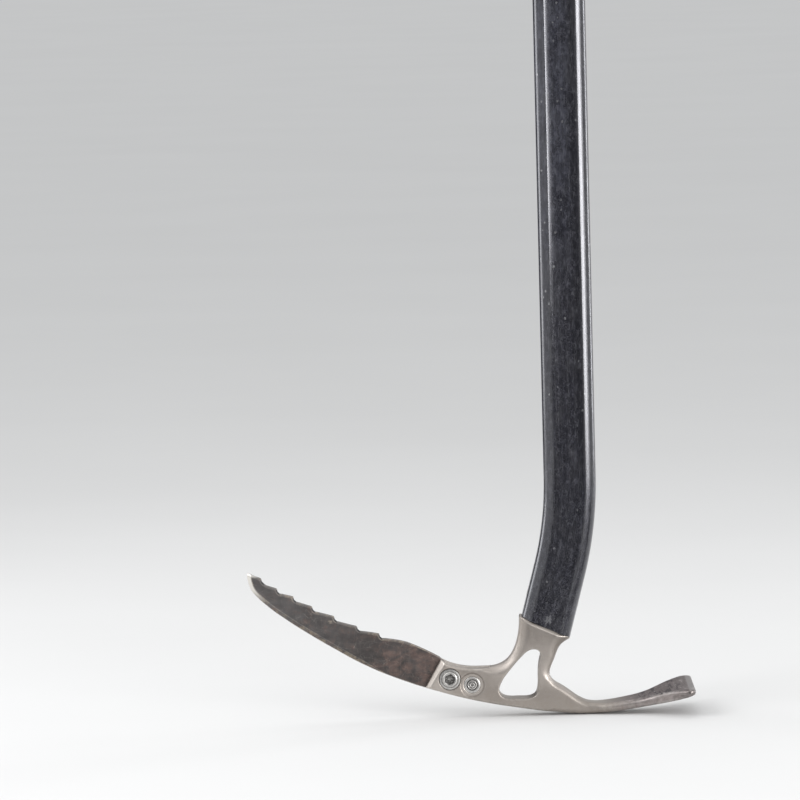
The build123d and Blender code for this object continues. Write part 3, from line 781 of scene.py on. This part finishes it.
CHEEK_TOP = [(-76.4, -543.4), (-72.5, -544.9), (-67.8, -546.1), (-61.8, -546.9),
             (-55.8, -547.0), (-49.8, -546.4), (-44.5, -545.0), (-40.2, -542.4),
             (-37.2, -538.8), (-35.2, -534.9), (-33.9, -531.0), (-33.0, -527.0),
             (-32.5, -523.0), (-32.3, -518.8)]
WINDOW = [(-24.4, -535.8), (-28.0, -537.0), (-30.9, -539.6), (-34.2, -543.1),
          (-38.2, -547.8), (-42.0, -552.6), (-44.6, -557.4), (-45.3, -561.0),
          (-43.6, -564.0), (-40.2, -565.5), (-33.0, -565.8), (-27.0, -565.6),
          (-23.6, -564.0), (-22.2, -560.8), (-21.8, -555.0), (-21.6, -548.6),
          (-20.6, -542.8), (-20.0, -539.4), (-21.4, -536.6)]
PLAN = [(14.0, 7.6), (18.0, 8.7), (24.0, 9.7), (31.0, 10.5), (37.0, 11.4),
        (41.0, 12.4), (45.0, 14.0), (50.0, 17.0), (55.0, 20.9), (60.0, 24.7),
        (64.0, 27.6), (67.2, 29.3)]
FRONT, REAR = (-74.7, -552.9), (-61.4, -556.6)

up = 16.0 * AX
outline = np.vstack([
    [np.array(SEAM_LEFT), np.array(SEAM_LEFT) + up, np.array(SEAM_RIGHT) + up],
    spline([SEAM_RIGHT] + HEAD_RIGHT),
    ADZE_EDGE[:-1],
    spline([ADZE_EDGE[-1]] + HEAD_BOTTOM + [CHEEK_LOW]),
    spline([CHEEK_HIGH] + CHEEK_TOP + [SEAM_LEFT])[:-1],
])
d_out = Field(-97, 80, -582, -496, 0.35, signed(outline))
d_win = Field(-52, -12, -572, -528, 0.3, signed(spline(WINDOW, 0.5, True)))
rc = 4.3
arc = [(71.9 - rc + rc * math.sin(t), 29.3 - rc + rc * math.cos(t)) for t in np.linspace(0.0, math.pi / 2, 12)]
plan_pts = np.vstack([[(-120.0, 7.0), (6.0, 7.0)], spline([(8.0, 7.0)] + PLAN)[:-1], arc])
plan_poly = np.vstack([plan_pts, plan_pts[::-1] * [1, -1]])
d_plan = Field(0, 80, -36, 36, 0.4, signed(plan_poly))
H_Z = np.array([-600, -558, -552, -546, -541, -537, -533, -529, -525, -521, -515, -480.0])
H_V = np.array([7.0, 7.0, 7.15, 7.6, 8.25, 8.95, 9.65, 10.2, 10.5, 10.65, 10.7, 10.7])


def head_f(x, y, z):
    dw = -d_win(x, z)
    dw = np.where((x > -51) & (x < -13) & (z > -571) & (z < -529), dw, -9.0)
    t = -((x - seam_mid[0]) * SN[0] + (z - seam_mid[1]) * SN[1])
    H = np.interp(z, H_Z, H_V)
    dy = np.where(x < 8.0, np.abs(y) - H, d_plan(x, np.clip(y, -35.9, 35.9)))
    col = smoothstep(24.0, 0.0, t)
    # outer edges: soft on the arms, full round at the collar, crisp on the adze
    r = 1.6 + 1.3 * smoothstep(0, 20, x) - 2.0 * smoothstep(36, 62, x) - 0.3 * smoothstep(64, 70, x)
    arm = smoothstep(-562, -546, z) * smoothstep(-57, -46, x) * smoothstep(-14, -26, x)
    leg = smoothstep(-560, -550, z) * smoothstep(-26, -16, x) * smoothstep(8, -2, x)
    r = np.where(x < 12, np.maximum(r + 4.9 * arm + 2.6 * leg, 1.6 + 5.2 * np.sqrt(col) * smoothstep(-556, -536, z)), r)
    r = np.maximum(r, 1.6 + 1.6 * smoothstep(-20, -10, x) * smoothstep(44, 24, x))
    d = rmax(d_out(x, z), dy, r)
    # window, with its own smaller edge radius
    d = rmax(d, dw, 0.7)
    # chamfer across the front of the cheeks
    front = -((x - CHEEK_LOW[0]) * 0.8676 - (z - CHEEK_LOW[1]) * 0.4973)
    d = rmax(d, np.where(x < -70, (front + np.abs(y) - 7.0 + 2.1) * 0.7071, -9.0), 0.35)
    # level bevel ground on top of the adze's edge, and a slight relief below it
    d = rmax(d, np.where(x > 52, (x - 67.3) * 0.035 + (z + 559.75) * 0.9994, -9.0), 0.5)
    # seam face, with a broken edge
    d = rmax(d, np.where(x < 10, -t, -9.0), 0.3)
    lip = (-t + np.maximum(d_out(x, z) - 0.9, np.abs(y) - H) + 1.65) * 0.7071
    d = rmax(d, np.where(x < 4, lip, -9.0), 0.2)
    # tang
    u = (x - seam_mid[0]) * PX[0] + (z - seam_mid[1]) * PX[1]
    s = (x - seam_mid[0]) * AX[0] + (z - seam_mid[1]) * AX[1]
    qx, qy = np.abs(u) - 7.9, np.abs(y) - 1.8
    tang = np.sqrt(np.maximum(qx, 0) ** 2 + np.maximum(qy, 0) ** 2) + np.minimum(np.maximum(qx, qy), 0) - 5.4
    tang = rmax(tang, np.maximum(s - 33.0, -4.0 - s), 1.0)
    d = np.minimum(d, tang)
    # slot for the pick
    d = rmax(d, -np.maximum(x + 50.4, np.abs(y) - 2.05), 0.3)
    # seats for the two screws
    for (cx, cz), side in ((FRONT, -1), (REAR, 1)):
        rho = np.hypot(x - cx, z - cz)
        ys = y * side
        d = rmax(d, -np.maximum(rho - 6.5, 6.1 - ys), 0.22)
        d = rmax(d, -np.maximum(rho - 7.2, 6.74 + ys), 0.10)
        d = np.maximum(d, -np.maximum(rho - 4.95, 3.9 + ys))
        d = np.maximum(d, -(rho - 3.2))
    return d


step = 0.56
P, Q = surface(head_f, (-91.0, -31.0, -578.0), (74.0, 31.0, -485.5), step)
P[:, 2] = np.maximum(P[:, 2], -576.0)
curv = curvature(head_f, P)
nrm = gradient(head_f, P)
edge = np.clip((curv - 0.10) / 0.55, 0, 1)
cav = np.clip((-curv - 0.08) / 0.5, 0, 1)
fb = -((P[:, 0] - CHEEK_LOW[0]) * 0.8676 - (P[:, 2] - CHEEK_LOW[1]) * 0.4973) + np.abs(P[:, 1]) - 4.9
bev = smoothstep(0.45, 0.15, np.abs(fb)) * (P[:, 0] < -70)
for cx, cz in (FRONT, REAR):
    seat = (np.hypot(P[:, 0] - cx, P[:, 2] - cz) < 7.0) & (np.abs(P[:, 1]) > 5.9) & (np.abs(P[:, 1]) < 6.85)
    bev = np.maximum(bev, 0.55 * seat)
# a painted shadow line round the rim of each screw seat, added to the hollows' painted shade
for (cx, cz), side in ((FRONT, -1), (REAR, 1)):
    rho, ys = np.hypot(P[:, 0] - cx, P[:, 2] - cz), P[:, 1] * side
    ring = np.where(ys < -6.2, np.abs(rho - 7.15), np.where(ys > 5.6, np.abs(rho - 6.5), 9.0))
    cav = np.maximum(cav, 0.75 * smoothstep(0.55, 0.15, ring))
bev = np.maximum(bev, 0.55 * smoothstep(-77.0, -83.0, P[:, 0] + 0.55 * (P[:, 2] + 552.0)) * (np.abs(P[:, 1]) > 6.0))
# up-facing faces short of the adze's end: they get the painted shade on the adze's top and mark where gall lies
topf = smoothstep(0.30, 0.70, nrm[:, 2]) * smoothstep(67.9, 66.9, P[:, 0])
head = make("head_forging", P, Q, M_HEAD, attrs={"edge": edge, "cav": cav, "top": topf, "bevel": bev})
place(head, "head_steel", "head")
print("head", len(P), len(Q), "box", P.min(0).round(2), P.max(0).round(2))

# ---------------------------------------------------------------- pick
TIP = (-194.2, -486.3)
TEETH = [(-190.0, -488.4), (-186.2, -489.9), (-185.6, -492.0), (-184.4, -493.2),
         (-182.9, -494.3), (-178.1, -495.9), (-176.9, -496.4), (-176.4, -498.3),
         (-175.2, -499.4), (-173.6, -499.7), (-169.2, -500.8), (-167.2, -501.3),
         (-166.8, -503.3), (-165.5, -504.5), (-164.0, -505.0), (-160.4, -506.2),
         (-156.2, -507.6), (-155.6, -509.6), (-154.4, -510.8), (-152.9, -511.1),
         (-148.2, -512.4), (-143.2, -513.9), (-142.6, -515.9), (-141.4, -517.0),
         (-139.8, -517.4), (-134.4, -519.0), (-129.6, -520.3), (-129.0, -522.2),
         (-127.8, -523.2), (-126.2, -523.4), (-121.0, -524.2), (-116.4, -525.1),
         (-115.8, -527.0), (-114.6, -528.0), (-112.6, -528.1), (-108.2, -528.7),
         (-104.0, -529.5), (-99.8, -530.6), (-95.1, -532.6), (-89.2, -535.4),
         (-85.0, -537.6), (-80.3, -540.2)]
PTANG = [(-76.4, -544.4), (-72.5, -545.9), (-67.8, -547.1), (-61.8, -547.9),
         (-55.8, -548.0), (-51.0, -547.8), (-51.0, -567.2), (-54.2, -566.7),
         (-66.0, -563.9), (-77.9, -560.6), (-88.8, -558.4)]
SPINE = [(-92.7, -557.2), (-98.6, -555.1), (-104.6, -552.8), (-113.5, -549.2),
         (-119.4, -546.6), (-125.3, -543.7), (-130.1, -541.2), (-141.0, -534.8),
         (-151.9, -528.2), (-160.8, -522.5), (-166.7, -518.6), (-172.6, -514.4),
         (-178.5, -510.1), (-184.3, -505.2), (-187.3, -502.5), (-189.6, -500.1),
         (-191.4, -497.9), (-193.1, -494.6), (-194.1, -491.0), (-194.5, -488.2)]
spine = spline([PTANG[-1]] + SPINE, 0.5)
pick_poly = np.vstack([[TIP], TEETH, PTANG[:-1], spine])
p_out = Field(-200, -45, -573, -481, 0.22, signed(pick_poly))
p_spine = Field(-200, -45, -573, -481, 0.5, lambda Pq: line_dist(Pq, np.vstack([spine, [TIP]])))
p_teeth = Field(-200, -45, -573, -481, 0.5, lambda Pq: line_dist(Pq, np.array([TIP] + TEETH)))


def pick_f(x, y, z):
    d2 = p_out(x, z)
    # the spine is ground to a bevel that dies out before the cheeks
    wb = np.interp(x, [-194, -185, -172, -150, -126, -114, -100], [2.5, 2.3, 2.4, 2.5, 2.0, 0.3, 0.0])
    cut = np.interp(x, [-194, -186, -172, -126, -112], [1.45, 1.30, 1.10, 0.90, 0.0])
    k = np.clip(1.0 - p_spine(x, z) / np.maximum(wb, 0.05), 0, 1)
    tb = np.clip(1.0 - p_teeth(x, z) / 0.9, 0, 1) * 0.35 * smoothstep(-92, -100, x)
    half = 2.0 - k * cut - tb
    dy = (np.abs(y) - half) * np.where(k > 0, 0.92, 1.0)
    d = rmax(d2, dy, 0.28)
    for cx, cz in (FRONT, REAR):
        d = np.maximum(d, -(np.hypot(x - cx, z - cz) - 3.2))
    return d


P, Q = surface(pick_f, (-196.5, -3.2, -569.0), (-49.0, 3.2, -484.5), 0.36)
curv = curvature(pick_f, P, 0.45)
edge = np.clip((curv - 0.25) / 1.0, 0, 1)
wbv = np.interp(P[:, 0], [-194, -185, -172, -150, -126, -114, -100], [2.5, 2.3, 2.4, 2.5, 2.0, 0.3, 0.0])
bev = smoothstep(1.0, 0.75, p_spine(P[:, 0], P[:, 2]) / np.maximum(wbv, 0.05))
tipm = bev * smoothstep(-506.0, -495.0, P[:, 2]) + smoothstep(-489.6, -488.0, P[:, 2]) * 0.8
# notch points where the pick is painted with shadow, and the rubbed-edge colour is taken off
notch = np.array([(-185.5, -492.2), (-176.4, -498.2), (-166.7, -503.4), (-155.5, -509.7), (-142.5, -516.0), (-128.9, -522.2), (-115.7, -527.0)])
near = np.min(np.hypot(P[:, 0, None] - notch[:, 0], P[:, 2, None] - notch[:, 1]), 1)
gull = smoothstep(2.1, 0.9, near) * smoothstep(0.75, 0.35, np.abs(p_out(P[:, 0], P[:, 2])))
pick = make("pick_plate", P, Q, M_PICK, attrs={"edge": edge * (1 - gull), "bevel": bev, "tip": np.clip(tipm, 0, 1), "notch": gull})
place(pick, "pick_steel", "pick")
print("pick", len(P), len(Q))


# ---------------------------------------------------------------- turned pieces
def lathe(profile, n=96, hexa=None):
    """Turned body from (radius, height, hollow) rows; a negative radius row is a hexagon of that half width."""
    V, F, cav = [], [], []
    for r, h, c in profile:
        for i in range(n):
            a = 2 * math.pi * i / n
            rr = r
            if r < 0:
                b = (a % (math.pi / 3)) - math.pi / 6
                rr = -r / math.cos(b)
            V.append((rr * math.cos(a), rr * math.sin(a), h))
            cav.append(c)
    for k in range(len(profile) - 1):
        for i in range(n):
            j = (i + 1) % n
            F.append((k * n + i, k * n + j, (k + 1) * n + j, (k + 1) * n + i))
    first, last = profile[0], profile[-1]
    V.append((0, 0, first[1]))
    cav.append(first[2])
    V.append((0, 0, last[1]))
    cav.append(last[2])
    a, b = len(V) - 2, len(V) - 1
    m = (len(profile) - 1) * n
    for i in range(n):
        j = (i + 1) % n
        F.append((a, j, i))
        F.append((b, m + i, m + j))
    return np.array(V), F, np.array(cav)


def along_y(V, centre, side, turn=0.0):
    """Stands a turned body on its axis along Y, its top towards side."""
    c, s = math.cos(turn), math.sin(turn)
    x, y = V[:, 0] * c - V[:, 1] * s, V[:, 0] * s + V[:, 1] * c
    return np.stack([centre[0] + x, side * V[:, 2], centre[1] + side * -y], 1)


def merged(parts):
    V, F, A, n = [], [], [], 0
    for v, f, a in parts:
        V.append(v)
        F += [tuple(i + n for i in q) for q in f]
        A.append(a)
        n += len(v)
    return np.vstack(V), F, np.concatenate(A)


# third column: how dark each row is painted, as grime and painted shade in the sockets and gaps
SCREW = [(2.7, -6.25, .8), (3.0, -6.1, .6), (3.0, 6.1, .6), (5.9, 6.1, .6), (6.15, 6.25, .2), (6.2, 6.95, 0), (6.1, 7.16, 0),
         (5.8, 7.26, 0), (5.1, 7.28, .1), (4.80, 7.24, .9), (4.66, 7.36, .6), (4.60, 7.9, 0), (4.45, 8.28, 0), (4.2, 8.5, 0),
         (3.85, 8.6, 0), (3.6, 8.6, 0), (-3.05, 8.42, .1), (-2.92, 8.15, .4), (-2.92, 6.8, .8), (-2.92, 6.1, 1), (-2.7, 5.9, .93), (0.6, 5.7, .82)]
NUT = [(3.06, 4.7, 0), (4.6, 4.7, .5), (4.9, 4.9, .6), (4.9, 6.5, .4), (4.86, 6.74, 0), (4.6, 6.90, 0), (4.2, 6.96, 0),
       (3.9, 6.98, 0), (3.62, 6.92, 0), (3.44, 6.75, .4), (3.28, 6.5, .9), (3.12, 6.2, 1), (3.06, 5.4, 1)]
END = [(2.80, 6.2, 1), (2.80, 6.95, .5), (2.68, 7.22, 0), (2.40, 7.30, 0), (2.24, 7.20, .3), (2.14, 6.75, .78), (1.60, 6.72, .78),
       (1.46, 7.05, .2), (1.18, 7.12, 0), (0.98, 7.02, .5), (0.88, 6.50, .80), (0.1, 6.4, .80)]
WASHER = [(3.2, 3.9, .5), (4.6, 3.9, .6), (4.7, 4.0, .6), (4.7, 4.6, .6), (4.6, 4.7, .6), (3.2, 4.7, .6)]

parts = []
for centre, side, turn in ((FRONT, -1, 0.35), (REAR, 1, 0.8)):
    v, f, c = lathe(SCREW)
    parts.append((along_y(v, centre, side, turn), f, c))
    v, f, c = lathe(END)
    parts.append((along_y(v, centre, -side), f, c))
V, F, C = merged(parts)
screws = make("pick_screw_pair", V, F, M_BRIGHT, attrs={"cav": C}, angle=28)
place(screws, "fastener_steel", "pick_screws")

parts = []
for centre, side in ((FRONT, 1), (REAR, -1)):
    v, f, c = lathe(NUT)
    f = [q for q in f if len(q) == 4]
    v, c = v[:-2], c[:-2]
    n = 96
    m = (len(NUT) - 1) * n
    f += [(m + i, m + (i + 1) % n, (i + 1) % n, i) for i in range(n)]
    parts.append((along_y(v, centre, side), f, c))
V, F, C = merged(parts)
nuts = make("pick_nut_pair", V, F, M_BRIGHT, attrs={"cav": C}, angle=28)
place(nuts, "fastener_steel", "pick_nuts")

parts = []
for centre, side in ((FRONT, 1), (REAR, -1)):
    v, f, c = lathe(WASHER)
    f = [q for q in f if len(q) == 4]
    v, c = v[:-2], c[:-2]
    n = 96
    m = (len(WASHER) - 1) * n
    f += [(m + i, m + (i + 1) % n, (i + 1) % n, i) for i in range(n)]
    parts.append((along_y(v, centre, side), f, c))
V, F, C = merged(parts)
washers = make("pick_washer_pair", V, F, M_BRIGHT, attrs={"cav": C}, angle=28)
place(washers, "fastener_steel", "pick_lock_washers")

# cross rivet through the shaft's narrow edges, with low domed ends
RIV = [(1.2, -15.72, 0), (2.1, -15.62, 0), (2.5, -15.42, .2), (2.5, -15.0, .7), (2.5, 15.0, .7), (2.5, 15.42, .2), (2.1, 15.62, 0), (1.2, 15.72, 0)]
v, f, c = lathe(RIV, 64)
at = seam_mid + 17.0 * AX
V = np.stack([at[0] + v[:, 2] * PX[0] + v[:, 0] * AX[0], v[:, 1], at[1] + v[:, 2] * PX[1] + v[:, 0] * AX[1]], 1)
rivet = make("head_cross_rivet", V, [q[::-1] for q in f], M_RIVET, attrs={"cav": c}, angle=35)
place(rivet, "rivet_steel", "head_rivet")


# ---------------------------------------------------------------- spike
SPIKE_SHAPE = [(15.0, -12.5), (15.0, -5.0), (13.6, 3.5), (10.4, 11.5), (5.6, 19.5), (0.8, 26.6),
               (-0.8, 26.6), (-5.6, 19.5), (-10.4, 11.5), (-13.6, 3.5), (-15.0, -5.0), (-15.0, -12.5)]
side_r = spline([(15.0, -9.0), (14.8, -2.0), (13.4, 4.6), (10.2, 12.2), (5.4, 20.0), (0.7, 26.5)], 0.6)
sp_poly = np.vstack([[(15.0, -12.5)], side_r, side_r[::-1] * [-1, 1], [(-15.0, -12.5), (-11, -12.5), (-11, -62), (11, -62), (11, -12.5)]])
s_out = Field(-19, 19, -66, 30, 0.3, signed(sp_poly))


def spike_f(x, y, z):
    d2 = s_out(x, z)
    half = np.interp(z, [-70, 11.0, 13.0, 26.6], [2.5, 2.5, 2.35, 0.75])
    rim = np.clip(1 + d2 / 2.2, 0, 1) * smoothstep(-9, -3, z)
    dy = np.abs(y) - (half - 0.9 * rim)
    d = rmax(d2, dy * 0.95, 0.4)
    rho = np.hypot(x, z)
    d = rmax(d, 6.0 - rho, 0.75)
    return np.maximum(d, 2.52 - np.hypot(x, z + 30.0))


P, Q = surface(spike_f, (-16.5, -3.5, -64.0), (16.5, 3.5, 28.0), 0.5)
curv = curvature(spike_f, P, 0.6)
spike = make("spike_plate", P, Q, M_SPIKE, attrs={"edge": np.clip((curv - 0.15) / 0.8, 0, 1)})
place(spike, "spike_steel", "spike")


# ---------------------------------------------------------------- end cap and grip
def grow(prof, d):
    """Offsets a closed counter-clockwise outline outwards."""
    t = np.roll(prof, -1, 0) - np.roll(prof, 1, 0)
    t /= np.maximum(np.linalg.norm(t, axis=1), 1e-9)[:, None]
    return prof + np.stack([t[:, 1], -t[:, 0]], 1) * (d[:, None] if isinstance(d, np.ndarray) else d)


def bar_section(w, d, r, n=40):
    pts = []
    for k, (sx, sy) in enumerate(((1, 1), (-1, 1), (-1, -1), (1, -1))):
        for t in np.linspace(0, math.pi / 2, n):
            a = t + k * math.pi / 2
            pts.append((sx * (w / 2 - r) + r * math.cos(a), sy * (d / 2 - r) + r * math.sin(a)))
    return np.array(pts)


def stack(rings):
    """Faces between rings of equal count, each joined to the next; the ends are left open."""
    V = np.vstack([np.column_stack([p, np.full(len(p), z)]) for p, z in rings])
    n = len(rings[0][0])
    F = []
    for k in range(len(rings) - 1):
        for i in range(n):
            j = (i + 1) % n
            F.append((k * n + i, k * n + j, (k + 1) * n + j, (k + 1) * n + i))
    return V, F, n


cap = bar_section(31.0, 20.0, 7.4)
plug = bar_section(27.3, 15.1, 5.8)
rows = [(plug, -45.0), (plug, -15.0), (grow(cap, -0.25), -15.0), (cap, -14.7), (cap, -13.3), (grow(cap, -0.35), -12.75), (grow(cap, -0.9), -12.5)]
V, F, n = stack(rows)
V = np.vstack([V, [(0, 0, -45.0), (0, 0, -12.5)]])
a, b, m = len(V) - 2, len(V) - 1, (len(rows) - 1) * n
F += [(a, (i + 1) % n, i) for i in range(n)] + [(b, m + i, m + (i + 1) % n) for i in range(n)]
capo = make("shaft_end_plug", V, F, M_CAP, angle=40)
place(capo, "cap_plastic", "shaft_end_cap")

# grip: moulded sleeve with rings of ribs that fade out on the flats
g_in = outer.copy()
gbase = bar_section(35.0, 24.0, 9.4, 64)
gpar = np.abs(gbase[:, 0]) / 17.5
zs = np.arange(-148.0, -17.0 + 1e-6, 0.42)
rows, ev = [], []
for z in zs:
    from_end = z + 148.0
    from_top = -17.0 - z
    rib = 0.0
    base_off = 0.0
    base_off += 0.35 * math.exp(-((from_end - 2.5) / 2.2) ** 2)
    base_off -= 0.9 * math.exp(-(from_end / 0.7) ** 2) + 0.9 * math.exp(-(from_top / 0.8) ** 2)
    base_off += 1.55 * float(smoothstep(11.5, 6.0, from_top))
    on = float(smoothstep(7.0, 10.0, from_end) * smoothstep(13.0, 17.0, from_top))
    ph = math.cos(2 * math.pi * (z + 20.0) / 5.2)
    rib = on * (0.55 * math.tanh(2.2 * ph) - 0.25)
    fade = smoothstep(0.34, 0.58, gpar)
    panel = -0.35 * on * (1 - fade)
    off = base_off + rib * fade + panel
    rows.append((grow(gbase, np.asarray(off, float) + np.zeros(len(gbase))), z))
    ev.append(np.clip(fade * on * (ph > 0.3) * 0.8 + 0.15, 0, 1) + np.zeros(len(gbase)))
V, F, n = stack(rows)
inner = bar_section(31.2, 20.2, 7.4, 64)
m = (len(rows) - 1) * n
base_n = len(V)
V = np.vstack([V, np.column_stack([inner, np.full(n, -17.0)]), np.column_stack([inner, np.full(n, -148.0)])])
for i in range(n):
    j = (i + 1) % n
    F.append((m + i, m + j, base_n + j, base_n + i))
    F.append((base_n + i, base_n + j, base_n + n + j, base_n + n + i))
    F.append((base_n + n + i, base_n + n + j, j, i))
ev = np.concatenate(ev + [np.zeros(2 * n)])
grip = make("grip_moulding", V, F, M_RUBBER, attrs={"edge": ev}, angle=50)
place(grip, "grip_rubber", "grip_sleeve")

# pieces inside the shaft keep their CAD shape
for name, mt in (("head_bond", M_GLUE), ("shaft_foam_plug", M_FOAM), ("spike_rivet", M_RIVET)):
    o = nodes[name]
    o.data.materials.clear()
    o.data.materials.append(mt)

# ---------------------------------------------------------------- studio
fl = bpy.data.meshes.new("floor")
zf = -0.5766
R = 60.0
fl.from_pydata([(-R, -R, zf), (R, -R, zf), (R, R, zf), (-R, R, zf)], [], [(0, 1, 2, 3)])
floor = bpy.data.objects.new("floor", fl)
bpy.context.scene.collection.objects.link(floor)
fl.materials.append(mat_floor())

world = bpy.data.worlds.new("studio")
bpy.context.scene.world = world
world.use_nodes = True
bg = world.node_tree.nodes["Background"]
bg.inputs["Color"].default_value = (0.97, 0.985, 1.0, 1)
bg.inputs["Strength"].default_value = 0.80


def area(name, at, aim, size, power, color=(1, 1, 1)):
    d = bpy.data.lights.new(name, "AREA")
    d.shape = "RECTANGLE"
    d.size, d.size_y = size
    d.energy = power
    d.color = color
    o = bpy.data.objects.new(name, d)
    o.location = at
    o.rotation_euler = (Vector(aim) - Vector(at)).to_track_quat("-Z", "Y").to_euler()
    o.visible_camera = False
    bpy.context.scene.collection.objects.link(o)
    return o


def strip(name, azimuth, dist, height, size, power, color=(1, 1, 1)):
    """Upright softbox; azimuth is counted from in front of the object towards +X."""
    t = math.radians(azimuth)
    at = (dist * math.sin(t), -dist * math.cos(t), height)
    o = area(name, at, (0.0, 0.0, height), size, power / 1.66, color)
    o.data.spread = math.radians(140.0)  # a grid on the box keeps its light off the floor beside it
    return o


for name, azimuth, dist, wide, power, color in (("key_right", 46.0, 1.3, 0.92, 6.5, (1.0, 0.99, 0.975)),
                                                ("key_core", 43.0, 1.28, 0.40, 5.4, (0.99, 0.99, 0.995))):
    strip(name, azimuth, dist, -0.27, (wide, 0.38), power * 0.38 / 0.49, color)
    # the lowest part is only reflected: as light it would burn out the floor at its foot
    strip(name + "_low", azimuth, dist, -0.515, (wide, 0.11), power * 0.11 / 0.49, color).visible_diffuse = False
strip("rim_right", 116.0, 1.2, -0.10, (0.22, 0.92), 4.0, (0.97, 0.98, 1.0))
strip("rim_left", -112.0, 1.2, -0.095, (0.46, 0.85), 3.5, (0.98, 0.985, 1.0))
area("soft_left", (-1.15, -0.60, 0.42), (-0.05, 0.0, -0.52), (0.9, 0.7), 9.0, (0.99, 0.99, 1.0))
area("top", (-0.2, 0.1, 1.5), (0.0, 0.0, -0.5), (1.8, 1.4), 6, (1.0, 0.99, 0.97))

# a dark card in front, to the left of the camera, keeps the flat faces deep
t0, t1 = math.radians(-26.0), math.radians(18.0)
card_pts = []
for k in range(9):
    t = t0 + (t1 - t0) * k / 8
    card_pts += [(1.0 * math.sin(t), -1.0 * math.cos(t), zf + 0.01), (1.0 * math.sin(t), -1.0 * math.cos(t), -0.04)]
cm = bpy.data.meshes.new("dark_card")
cm.from_pydata(card_pts, [], [(2 * k, 2 * k + 2, 2 * k + 3, 2 * k + 1) for k in range(8)])
card = bpy.data.objects.new("dark_card", cm)
bpy.context.scene.collection.objects.link(card)
cm.materials.append(mat_plastic("card_felt", (0.030, 0.0305, 0.041), (0.044, 0.045, 0.060), 0.8))
# a second one behind, on the left, keeps the shaft's left outline dark
back_pts = []
for k in range(7):
    t = math.radians(-127.0 - 50.0 * k / 6)
    back_pts += [(1.0 * math.sin(t), -1.0 * math.cos(t), zf + 0.01), (1.0 * math.sin(t), -1.0 * math.cos(t), 0.0)]
bm_ = bpy.data.meshes.new("dark_card_back")
bm_.from_pydata(back_pts, [], [(2 * k, 2 * k + 2, 2 * k + 3, 2 * k + 1) for k in range(6)])
back_card = bpy.data.objects.new("dark_card_back", bm_)
bpy.context.scene.collection.objects.link(back_card)
bm_.materials.append(cm.materials[0])
# a third dark patch lies on the floor in front, seen only in reflections: a painted dark reflection in the head's lower
# faces
gm = bpy.data.meshes.new("dark_ground")
gz = zf + 0.004
gm.from_pydata([(-0.16, -0.085, gz), (-0.62, -1.02, gz), (0.30, -1.02, gz), (0.95, -0.55, gz), (0.95, -0.15, gz), (0.24, -0.02, gz), (0.085, -0.085, gz)], [], [(0, 1, 2, 3, 4, 5, 6)])
ground = bpy.data.objects.new("dark_ground", gm)
bpy.context.scene.collection.objects.link(ground)
gm.materials.append(cm.materials[0])
for o in (card, back_card, ground):
    o.visible_camera = False
    o.visible_shadow = False
    o.visible_diffuse = False

# ---------------------------------------------------------------- camera
# a long lens 3.25 m away, looking down on the head by 6.3 degrees
roll, yaw, pitch = 0.026166, 0.00249, 0.109103
fwd = Vector((math.sin(yaw) * math.cos(pitch), math.cos(yaw) * math.cos(pitch), -math.sin(pitch)))
side = fwd.cross(Vector((0, 0, 1))).normalized()
over = side.cross(fwd)
right = side * math.cos(roll) - over * math.sin(roll)
upv = side * math.sin(roll) + over * math.cos(roll)
cam_data = bpy.data.cameras.new("camera")
cam_data.sensor_width = 36.0
cam_data.lens = 246.5812
cam_data.clip_end = 200.0
cam = bpy.data.objects.new("camera", cam_data)
bpy.context.scene.collection.objects.link(cam)
rot = Matrix((right, upv, -fwd)).transposed().to_4x4()
cam.matrix_world = Matrix.Translation((-0.108254, -3.25, -0.028606)) @ rot
bpy.context.scene.camera = cam

vs = bpy.context.scene.view_settings
vs.view_transform = "Standard"
vs.look = "None"
vs.exposure = 0.0
